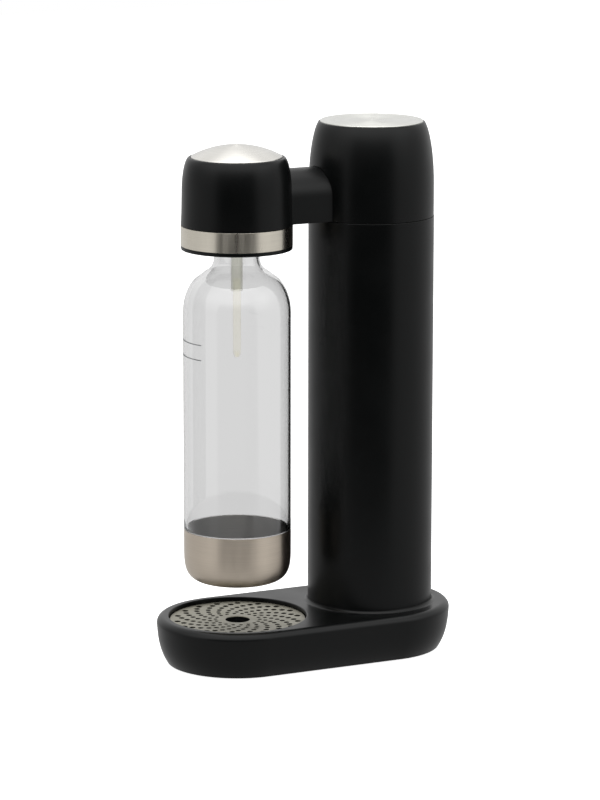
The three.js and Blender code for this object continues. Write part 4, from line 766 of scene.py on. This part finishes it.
# Column: a straight tube in black ABS that stands on the ledge in the base and hides the gas cylinder.
# Its upper edge is broken, which draws the thin seam under the cap.
TUBE_WALL = 2.2 * MM
SEAM_BREAK = 0.35 * MM
FINE_SIDES = 160


def sleeve(inner_r, outer_r, low_z, high_z):
    """The profile of a straight sleeve, up its outside."""
    return [(inner_r, low_z), (outer_r, low_z), (outer_r, high_z), (inner_r, high_z)]


column = turned(
    "column_skin", COLUMN_Y, sleeve(COLUMN_R - TUBE_WALL, COLUMN_R, tube_low.z, tube_high.z),
    bridged=True, sides=FINE_SIDES,
    rounded=[(COLUMN_R, tube_low.z, SEAM_BREAK), (COLUMN_R, tube_high.z, SEAM_BREAK)],
)
fit(column, black_abs, "machine", "black_abs", "column_tube")

# Cap: a moulded ABS bell pressed onto the column, with a recess in its top for a steel plate and an arched
# opening for the arm. It is straight at the seam and crowns in towards its top.
CAP_CROWN = 52.2 * MM
CAP_DROP = 8.0 * MM
CROWN_START_POWER = 2.2
CROWN_END_POWER = 1.5
CROWN_STEPS = 20
CROWN_EDGE = 0.9 * MM
CAP_WALL = 2.2 * MM
CAP_INSIDE_SHARES = (0.9, 0.7, 0.4, 0)
RECESS = 2.0 * MM
RECESS_LEDGE = 6 * MM
ARM_HALF = 20.7 * MM
ARM_STEPS = 40
ARM_MIDDLE_Y = -5 * MM
OPENING_DEPTH = 20 * MM
OPENING_BREAK = 0.3 * MM
ARCH_SHARP_ANGLE = 60
cap_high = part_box("column_cap")[1]
plate_low, plate_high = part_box("cap_disc")
arm_low, arm_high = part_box("arm_shell")
SEAM_Z = tube_high.z + GAP
PLATE_R = plate_high.x
SPRING_LINE_Z = arm_high.z - ARM_HALF


def crown(share):
    """Radius and height on the cap's crown, from its straight side to its top edge."""
    drop = CAP_DROP * (1 - (1 - share ** CROWN_START_POWER) ** (1 / CROWN_END_POWER))
    return cap_high.x - drop, cap_high.z - CAP_CROWN * (1 - share)


def arch(name, half, front_y, rear_y, low_z):
    """A solid with an arched section, drawn as a ring, squared below and pulled along the arm."""
    piece = new_ring(
        name, vertices=2 * ARM_STEPS, radius=half, location=(0, front_y, SPRING_LINE_Z),
        rotation=(math.pi / 2, 0, 0), fill_type="NGON",
    )
    bpy.ops.mesh.bisect(
        plane_co=(0, front_y, SPRING_LINE_Z), plane_no=(0, 0, -1), clear_outer=True, use_fill=False,
    )
    pick_edges(piece, lambda place: abs(place.z - SPRING_LINE_Z) < LEVEL_NEAR)
    bpy.ops.mesh.extrude_region_move(TRANSFORM_OT_translate={"value": (0, 0, low_z - SPRING_LINE_Z)})
    bpy.ops.mesh.select_all(action="SELECT")
    bpy.ops.mesh.extrude_region_move(TRANSFORM_OT_translate={"value": (0, rear_y - front_y, 0)})
    faces_outwards()
    bpy.ops.object.mode_set(mode="OBJECT")
    return piece


shares = [math.sin(math.pi / 2 * i / CROWN_STEPS) for i in range(CROWN_STEPS + 1)]
crown_r = crown(1)[0]
recess_z = cap_high.z - RECESS
ledge_r = PLATE_R - RECESS_LEDGE
shell = [(cap_high.x, SEAM_Z)] + [crown(share) for share in shares[:-1]]
shell += [(crown_r, cap_high.z), (PLATE_R + GAP, cap_high.z), (PLATE_R + GAP, recess_z)]
shell += [(ledge_r, recess_z), (ledge_r, recess_z - CAP_WALL)]
shell += [(crown(share)[0] - CAP_WALL, crown(share)[1]) for share in CAP_INSIDE_SHARES]
shell += [(cap_high.x - CAP_WALL, SEAM_Z)]
cap = turned(
    "cap_skin", COLUMN_Y, shell, bridged=True, sides=FINE_SIDES,
    rounded=[(cap_high.x, SEAM_Z, SEAM_BREAK), (crown_r, cap_high.z, CROWN_EDGE)],
)
cap_opening = arch("cap_opening", ARM_HALF + GAP, ARM_MIDDLE_Y, COLUMN_Y - OPENING_DEPTH, SEAM_Z - OVERLAP)
combine(cap, cap_opening, "DIFFERENCE")
broken_edges(cap, OPENING_BREAK, ARCH_SHARP_ANGLE)
fit(cap, black_abs, "machine", "black_abs", "column_cap")

# Arm: a moulded ABS arch between cap and head, flat below, covering the steel beam. Its ends slip into arched
# openings, the rear one far enough that no light passes, and a fine seam runs round it at the cap.
ARM_WALL = 2.2 * MM
ARM_TUCK = 1.6 * MM
ARM_OVERCUT = 5 * MM
ARM_BREAK = 0.5 * MM
arm = arch("arm_skin", ARM_HALF, arm_low.y, arm_high.y + ARM_TUCK, arm_low.z)
hollow = arch(
    "arm_hollow", ARM_HALF - ARM_WALL, arm_low.y - ARM_OVERCUT, arm_high.y + ARM_OVERCUT,
    arm_low.z + ARM_WALL,
)
combine(arm, hollow, "DIFFERENCE")
broken_edges(arm, ARM_BREAK, ARCH_SHARP_ANGLE)
fit(arm, black_abs, "machine", "black_abs", "arm_shell")

# Cap plate: a stainless disc, faced on a lathe and let into the cap, with a rounded bright rim and a face
# dished by a hair. The rings of the turning draw its lights out from the middle. The real ones are 0.1 mm
# apart, and they are drawn at 0.5 mm so that they show.
PLATE_STEEL = "#c8c8c3"
PLATE_RIM = 0.6 * MM
PLATE_DISH = 0.5 * MM
PLATE_SHARES = (0.96, 0.8, 0.6, 0.4, 0.2, 0.04)
TURNING_RINGS = 0.5 * MM
TURNING_DEPTH = 0.001 * MM
face = [(PLATE_R * share, plate_high.z - PLATE_DISH * (1 - share ** 2)) for share in PLATE_SHARES]
top_plate = turned(
    "cap_plate", COLUMN_Y,
    [(face[-1][0], plate_low.z), (PLATE_R, plate_low.z), (PLATE_R, plate_high.z)] + face,
    rounded=[(PLATE_R, plate_high.z, PLATE_RIM)], sides=FINE_SIDES,
)
plate_steel = metal(
    "turned_stainless_plate", PLATE_STEEL, roughness=0.3, streak=[TURNING_RINGS] * 3, patch=[12 * MM] * 3,
    depth=TURNING_DEPTH, brushed=0.8, axis_y=COLUMN_Y,
)
fit(top_plate, plate_steel, "machine", "brushed_steel", "cap_disc")

# Head: a moulded ABS cup over the valve work, carried by the beam in the arm, which enters it by an arched
# opening. Its side is nearly straight and turns in to the button at the top.
HEAD_WALL = 2.2 * MM
HEAD_LEAN = 0.7 * MM
HEAD_LEAN_H = 10 * MM
HEAD_LEAN_SHARE = 0.6
HEAD_TURN_IN = 6.0 * MM
HEAD_TURN_H = 27.1 * MM
HEAD_TURN_STEPS = 18
HEAD_LIP_DROP = 0.8 * MM
HEAD_LIP_RISE = 0.1 * MM
HEAD_LIP_DEPTH = 4 * MM
HEAD_LIP_BREAK = 0.2 * MM
HEAD_INSIDE_DEPTH = 6 * MM
BUTTON_PLAY = 0.5 * MM
head_low, head_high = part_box("head_shell")
button_low, button_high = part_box("button_cap")
BUTTON_R = button_high.x
HEAD_R = head_high.x
lip_r = BUTTON_R + BUTTON_PLAY
turn_in_r = HEAD_R - HEAD_LEAN - HEAD_TURN_IN
head_top = head_high.z - HEAD_LIP_DROP
turn_in_z = head_top - HEAD_TURN_H
head_line = [(HEAD_R, head_low.z), (HEAD_R - HEAD_LEAN * HEAD_LEAN_SHARE, head_low.z + HEAD_LEAN_H)]
head_line += quarter(turn_in_r, turn_in_z, HEAD_TURN_IN, HEAD_TURN_H - HEAD_LIP_RISE, HEAD_TURN_STEPS)
head_line += [(lip_r, head_top), (lip_r, head_top - HEAD_LIP_DEPTH)]
head_line += [(turn_in_r, head_top - HEAD_INSIDE_DEPTH), (HEAD_R - HEAD_LEAN - HEAD_WALL, turn_in_z)]
head_line += [(HEAD_R - HEAD_WALL, head_low.z)]
head = turned(
    "head_skin", HEAD_Y, head_line, bridged=True, sides=FINE_SIDES,
    rounded=[(HEAD_R, head_low.z, SEAM_BREAK), (lip_r, head_top, HEAD_LIP_BREAK)],
)
head_opening = arch(
    "head_opening", ARM_HALF + GAP, HEAD_Y + OPENING_DEPTH, ARM_MIDDLE_Y, head_low.z - OVERLAP,
)
combine(head, head_opening, "DIFFERENCE")
fit(head, black_abs, "machine", "black_abs", "head_shell")

# Head ring: a band of stainless sheet, rolled and pressed onto the foot of the head.
# It is brushed round its length, so that its lights run up and down it. The real brushing is 0.1 mm fine, and
# it is drawn at 0.3 mm so that it shows.
RING_WALL = 2.0 * MM
RING_BREAK = 0.12 * MM
BAND_STEEL = "#d6d0c3"
BRUSH_STREAK = [30 * MM, 30 * MM, 0.3 * MM]
BRUSH_PATCH = [6 * MM, 6 * MM, 60 * MM]
BRUSH_DEPTH = 0.0015 * MM
ring_low, ring_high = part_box("head_ring")
RING_R = ring_high.x
band = turned(
    "head_band", HEAD_Y, sleeve(RING_R - RING_WALL, RING_R, ring_low.z, ring_high.z),
    bridged=True, sides=FINE_SIDES,
    rounded=[(RING_R, ring_low.z, RING_BREAK), (RING_R, ring_high.z, RING_BREAK)],
)
band_steel = metal(
    "brushed_stainless_band", BAND_STEEL, roughness=0.3, streak=BRUSH_STREAK, patch=BRUSH_PATCH,
    depth=BRUSH_DEPTH, brushed=0.7,
)
fit(band, band_steel, "machine", "brushed_steel", "head_ring")

# Bottle socket: a black ABS moulding pressed in behind the ring, with a threaded sleeve for the neck.
# Below the ring it ends in a satin lip, which stands out by a hair.
LIP_H = 2.7 * MM
LIP_WIDTH = 4.4 * MM
LIP_SKIN = 0.08 * MM
LIP_HEEL = 1.1 * MM
LIP_BREAK = 0.2 * MM
socket = plain_copy("bottle_socket_moulding", "bottle_socket")
fit(socket, matt_black, "machine", "matt_black", "bottle_socket")
socket_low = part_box("bottle_socket")[0]
LIP_R = HEAD_R + LIP_SKIN
lip_z = socket_low.z - LIP_SKIN
lip_top = socket_low.z + LIP_H
lip_ring = turned(
    "socket_lip", HEAD_Y, sleeve(HEAD_R - LIP_WIDTH, LIP_R, lip_z, lip_top), bridged=True, sides=FINE_SIDES,
    rounded=[(LIP_R, lip_z, LIP_HEEL), (LIP_R, lip_top, LIP_BREAK)],
)
fit(lip_ring, black_abs, "machine", "black_abs")

# Return spring: zinc-plated wire wound to a coil, set between the guide and the button's carrier.
# It shortens as the button goes down.
spring = plain_copy("return_spring", "button_spring")
fit(spring, zinc_plate, "machine", "zinc_steel", "button_spring")
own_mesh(spring)

# Button: a stainless cap, spun to a low dome and brushed as it turned, on a plastic carrier under it.
# The brushing draws its lights out from the middle.
BUTTON_DOME = 8.8 * MM
BUTTON_SKIN = 1.4 * MM
BUTTON_ROUND = 0.6 * MM
DOME_STEPS = 16
DOME_CENTRE = 0.03
BUTTON_STEEL = "#c8c6c1"


def dome(share, sheet=0.0):
    """A point on the button's face, part of a sphere, or on its underside."""
    sphere = (BUTTON_R ** 2 + BUTTON_DOME ** 2) / (2 * BUTTON_DOME)
    radius = (BUTTON_R - sheet) * share
    return radius, button_high.z - sphere + math.sqrt(sphere ** 2 - radius ** 2) - sheet


dome_shares = [DOME_CENTRE + (1 - DOME_CENTRE) * i / DOME_STEPS for i in range(DOME_STEPS + 1)]
press = [dome(share) for share in dome_shares]
press += [(BUTTON_R, button_low.z), (BUTTON_R - BUTTON_SKIN, button_low.z)]
press += [(BUTTON_R - BUTTON_SKIN, dome(1, BUTTON_SKIN)[1])]
press += [dome(share, BUTTON_SKIN) for share in reversed(dome_shares[:-1])]
button = turned(
    "push_button", HEAD_Y, press, rounded=[(BUTTON_R, dome(1)[1], BUTTON_ROUND)], sides=FINE_SIDES,
)
button_steel = metal(
    "spun_stainless_button", BUTTON_STEEL, roughness=0.3, streak=[TURNING_RINGS] * 3, patch=[14 * MM] * 3,
    depth=TURNING_DEPTH, brushed=0.85, axis_y=HEAD_Y,
)
fit(button, button_steel, "button", "brushed_steel", "button_cap")

# Nozzle: a nylon pipe that hangs from a ball at its top through the bottle's neck, with a thinner milky tip
# pushed into it that reaches the water. Natural nylon lets light through but blurs what is behind it.
PIPE_R = 4.5 * MM
PIPE_BORE_R = 3.6 * MM
PIPE_BORE_TOP = 12 * MM
PIPE_ROUND = 0.5 * MM
BALL_STEPS = 10
BALL_TOP_ANGLE = 0.25
TIP_WALL = 0.8 * MM
TIP_HOLE_R = 0.9 * MM
TIP_HOLE_H = 0.8 * MM
TIP_END_R = 1.9 * MM
TIP_TAPER_H = 3 * MM
TIP_BORE_Z = 4 * MM
TIP_ROUND = 0.4 * MM
SPIGOT_STEP = 0.3 * MM
NOZZLE_SIDES = 48
tip_low, tip_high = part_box("nozzle_tip")
pipe_low, pipe_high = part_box("nozzle_tube")
TIP_R = tip_high.x
BALL_R = pipe_high.x
ball_z = pipe_high.z - BALL_R
ball_start = math.pi - math.asin(PIPE_R / BALL_R)
ball_angles = [ball_start - (ball_start - BALL_TOP_ANGLE) * i / BALL_STEPS for i in range(BALL_STEPS + 1)]
stalk = [(PIPE_BORE_R, pipe_high.z - PIPE_BORE_TOP), (PIPE_BORE_R, pipe_low.z), (PIPE_R, pipe_low.z)]
stalk += [(BALL_R * math.sin(a), ball_z + BALL_R * math.cos(a)) for a in ball_angles]
pipe = turned(
    "nozzle_pipe", HEAD_Y, stalk, rounded=[(PIPE_R, pipe_low.z, PIPE_ROUND)], sides=NOZZLE_SIDES,
)
tip_bore_r = TIP_R - TIP_WALL
spigot_r = TIP_R - SPIGOT_STEP
tip_stop_z = pipe_low.z - GAP
tip = turned(
    "nozzle_end", HEAD_Y,
    [
        (tip_bore_r, tip_low.z + TIP_BORE_Z), (TIP_HOLE_R, tip_low.z + TIP_HOLE_H), (TIP_HOLE_R, tip_low.z),
        (TIP_END_R, tip_low.z), (TIP_R, tip_low.z + TIP_TAPER_H), (TIP_R, tip_stop_z),
        (spigot_r, tip_stop_z), (spigot_r, tip_high.z), (tip_bore_r, tip_high.z),
    ],
    sides=NOZZLE_SIDES, rounded=[(TIP_R, tip_stop_z, TIP_ROUND)],
)
MILKY_WHITE = "#fffdf4"
NATURAL_NYLON = "#f0f0ea"
RIPPLE = 12 * MM
HAZE_RISE = 1.5


def translucent(name, colour, roughness, ior, depth):
    """A plastic that lets light through, with a light ripple from moulding or blowing."""
    material, tree, place = bare_material(name)
    ripple = add_node(tree, "TexNoise", {"Vector": place, "Scale": 1 / RIPPLE, "Detail": 1.0})
    haze = add_node(
        tree, "MapRange",
        {"Value": ripple.outputs["Fac"], **NOISE_SPAN,
         "To Min": roughness, "To Max": roughness * HAZE_RISE},
    )
    surface(
        tree, ripple.outputs["Fac"], depth,
        {"Base Color": linear(colour), "Roughness": haze.outputs["Result"], "IOR": ior,
         "Transmission Weight": 1.0},
    )
    return material


# The index stays below nylon's own 1.53, so that the edges are as pale as they look through the bottle.
milky_nylon = translucent("milky_nylon", MILKY_WHITE, roughness=0.3, ior=1.07, depth=0.002 * MM)
grey_nylon = translucent("natural_nylon_pipe", NATURAL_NYLON, roughness=0.35, ior=1.12, depth=0.002 * MM)
fit(pipe, grey_nylon, "nozzle", "dark_nylon", "nozzle_tube")
fit(tip, milky_nylon, "nozzle", "milky_nylon", "nozzle_tip")

# Gas hose: a nylon tube inside the arm, from the valve block to the nozzle holder, with a nut at each end.
# It is drawn out of the same milky nylon.
coat(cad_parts["gas_hose"], milky_nylon)

# Bottle: blown clear PET, thick at the neck and thin in the wall, with a rounded shoulder. It hangs by its
# neck, and its lower end is drawn in so that the steel cup sits flush with the wall. Clear PET bends what
# is behind it, and the blowing leaves a faint ripple.
BOTTLE_WALL = 1.7 * MM
BOTTLE_STEP = 1.5 * MM
NECK_R = 17.2 * MM
NECK_WALL = 2.2 * MM
NECK_BREAK = 0.5 * MM
NECK_FOOT_Z = 312.0 * MM
NECK_START_Z = NECK_FOOT_Z + 10 * MM
BORE_START_Z = NECK_FOOT_Z + 14 * MM
THINNING_START_Z = NECK_FOOT_Z + 8 * MM
THINNING_RUN = 20 * MM
STEP_ROUND = (0.5 * MM, 0.6 * MM)
STEP_RUN = 8 * MM
BOTTLE_CENTRE_R = 1.5 * MM
PUSH_UP = 5 * MM
PET_CLEAR = "#ffffff"
SHOULDER = [
    (41.2, 270.0), (41.15, 276.0), (40.35, 283.0), (37.9, 291.0), (33.7, 298.0), (26.8, 304.0),
    (20.6, 308.6), (17.9, 313.0), (17.25, 318.0),
]
SHOULDER_STEPS = 5
HEEL = [(0.4, 2.2), (0.66, 0.0), (0.76, 0.0), (0.86, 3.0), (0.95, 9.0), (0.99, 17.0), (1.0, 26.0)]
HEEL_STEPS = 3
bottle_low, bottle_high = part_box("bottle_body")
foot_low, foot_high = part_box("bottle_cup")
BOTTLE_R = bottle_high.x


def curve_through(points, steps):
    """A smooth line through a few points, with the same number of steps between each two."""
    ends = [points[0]] + points + [points[-1]]
    line = []
    for before, start, end, after in zip(ends, ends[1:], ends[2:], ends[3:]):
        for i in range(steps):
            t = i / steps
            line.append(tuple(
                0.5 * (
                    2 * q + (r - p) * t + (2 * p - 5 * q + 4 * r - s) * t ** 2
                    + (3 * q - p - 3 * r + s) * t ** 3
                )
                for p, q, r, s in zip(before, start, end, after)
            ))
    return line + [points[-1]]


seat_r = BOTTLE_R - BOTTLE_STEP
rim_z = foot_high.z + GAP
shoulder = curve_through([(r * MM, z * MM) for r, z in SHOULDER], SHOULDER_STEPS)
heel = [(BOTTLE_CENTRE_R, bottle_low.z + PUSH_UP)]
heel += [(seat_r * share, bottle_low.z + rise * MM) for share, rise in HEEL]
heel = curve_through(heel, HEEL_STEPS)
bottle_line = heel + [(seat_r, rim_z), (BOTTLE_R - STEP_ROUND[0], rim_z), (BOTTLE_R, rim_z + STEP_ROUND[1])]
bottle_line += shoulder + [(NECK_R, NECK_START_Z), (NECK_R, bottle_high.z)]
bore_r = NECK_R - NECK_WALL
bottle_line += [(bore_r, bottle_high.z), (bore_r, BORE_START_Z)]
for r, z in reversed(shoulder[::2]):
    wall = NECK_WALL + (BOTTLE_WALL - NECK_WALL) * min(1.0, (THINNING_START_Z - z) / THINNING_RUN)
    bottle_line.append((r - wall, z - wall * 0.5))
bottle_line += [(BOTTLE_R - BOTTLE_WALL, rim_z + STEP_RUN), (seat_r - BOTTLE_WALL / 2, rim_z)]
bottle_line += [(seat_r - BOTTLE_WALL, rim_z - STEP_RUN)]
bottle_line += [(max(BOTTLE_CENTRE_R, r - BOTTLE_WALL), z + BOTTLE_WALL) for r, z in reversed(heel[::2])]
bottle = turned(
    "bottle_skin", HEAD_Y, bottle_line, sides=FINE_SIDES,
    rounded=[(NECK_R, bottle_high.z, NECK_BREAK), (bore_r, bottle_high.z, NECK_BREAK)],
)
clear_pet = translucent("clear_blown_pet", PET_CLEAR, roughness=0.015, ior=1.57, depth=0.01 * MM)
fit(bottle, clear_pet, "bottle", "clear_pet", "bottle_body")

# Foot cup: drawn stainless with a full soft heel, brushed, and pressed over the bottle's lower end. Its
# inside faces get a painted light, a brighter colour for the light that reaches them through the bottle. Its
# lights run up and down, across the brushing, as on the head ring.
CUP_SHEET = 1.2 * MM
CUP_ROUND = 30.86 * MM
CUP_SQUARENESS = 4.17
CUP_STEPS = 22
CUP_CENTRE_R = 2 * MM
CUP_BREAK = 0.12 * MM
CUP_STEEL = "#c0b5a7"
# Painted light: the brighter colour of the cup's inside faces, for the light that reaches them through the
# bottle.
PAINTED_LIGHT_STEEL = "#f4f1ec"


def cup_curve(inset):
    """The cup's outline from its floor up to its side, drawn in from the outside by a wall."""
    corner = CUP_ROUND - inset
    line = []
    for i in range(CUP_STEPS + 1):
        a = math.pi / 2 * (1 - i / CUP_STEPS)
        out = math.cos(a) ** (2 / CUP_SQUARENESS) if i else 0.0
        down = math.sin(a) ** (2 / CUP_SQUARENESS)
        line.append((BOTTLE_R - CUP_ROUND + corner * out, foot_low.z + CUP_ROUND - corner * down))
    return line


cup_line = [(CUP_CENTRE_R, foot_low.z)] + cup_curve(0.0)
cup_line += [(BOTTLE_R, foot_high.z), (BOTTLE_R - CUP_SHEET, foot_high.z)]
cup_line += list(reversed(cup_curve(CUP_SHEET))) + [(CUP_CENTRE_R, foot_low.z + CUP_SHEET)]
steel_cup = turned(
    "steel_foot", HEAD_Y, cup_line, rounded=[(BOTTLE_R, foot_high.z, CUP_BREAK)], sides=FINE_SIDES,
)
# The inside faces take the painted light colour.
cup_steel = metal(
    "brushed_stainless_cup", CUP_STEEL, roughness=0.36, streak=BRUSH_STREAK, patch=BRUSH_PATCH,
    depth=BRUSH_DEPTH, brushed=0.8, painted_light_inside=PAINTED_LIGHT_STEEL,
)
fit(steel_cup, cup_steel, "bottle", "brushed_steel", "bottle_cup")

# Fill lines: two short lines of dark grey ink, screen printed on the front of the bottle. The ink dries matt
# and stands a hair above the wall.
LINE_HEIGHTS = [254.0 * MM, 242.4 * MM]
LINE_BEARING = -92.0
LINE_SPAN = 52.0
LINE_WIDTH = 0.7 * MM
LINE_SIDES = 180
INK_BACK = 0.02 * MM
INK_FACE = 0.05 * MM
INK_GREY = "#5c5f60"
ink = moulded("screen_printed_ink", INK_GREY, roughness=0.5, grain=0.6 * MM, depth=0.005 * MM)
for i, height in enumerate(LINE_HEIGHTS, 1):
    line = turned(
        f"fill_line_{i}", HEAD_Y,
        sleeve(BOTTLE_R + INK_BACK, BOTTLE_R + INK_FACE, height, height + LINE_WIDTH),
        bridged=True, sides=LINE_SIDES,
    )
    bpy.ops.object.mode_set(mode="EDIT")
    for side in (-1, 1):
        edge = math.radians(LINE_BEARING + side * LINE_SPAN / 2)
        across = (-side * math.sin(edge), side * math.cos(edge), 0)
        bpy.ops.mesh.select_all(action="SELECT")
        bpy.ops.mesh.bisect(plane_co=(0, HEAD_Y, height), plane_no=across, clear_outer=True, use_fill=True)
    faces_outwards()
    bpy.ops.object.mode_set(mode="OBJECT")
    fit(line, ink, "bottle", "matt_black")
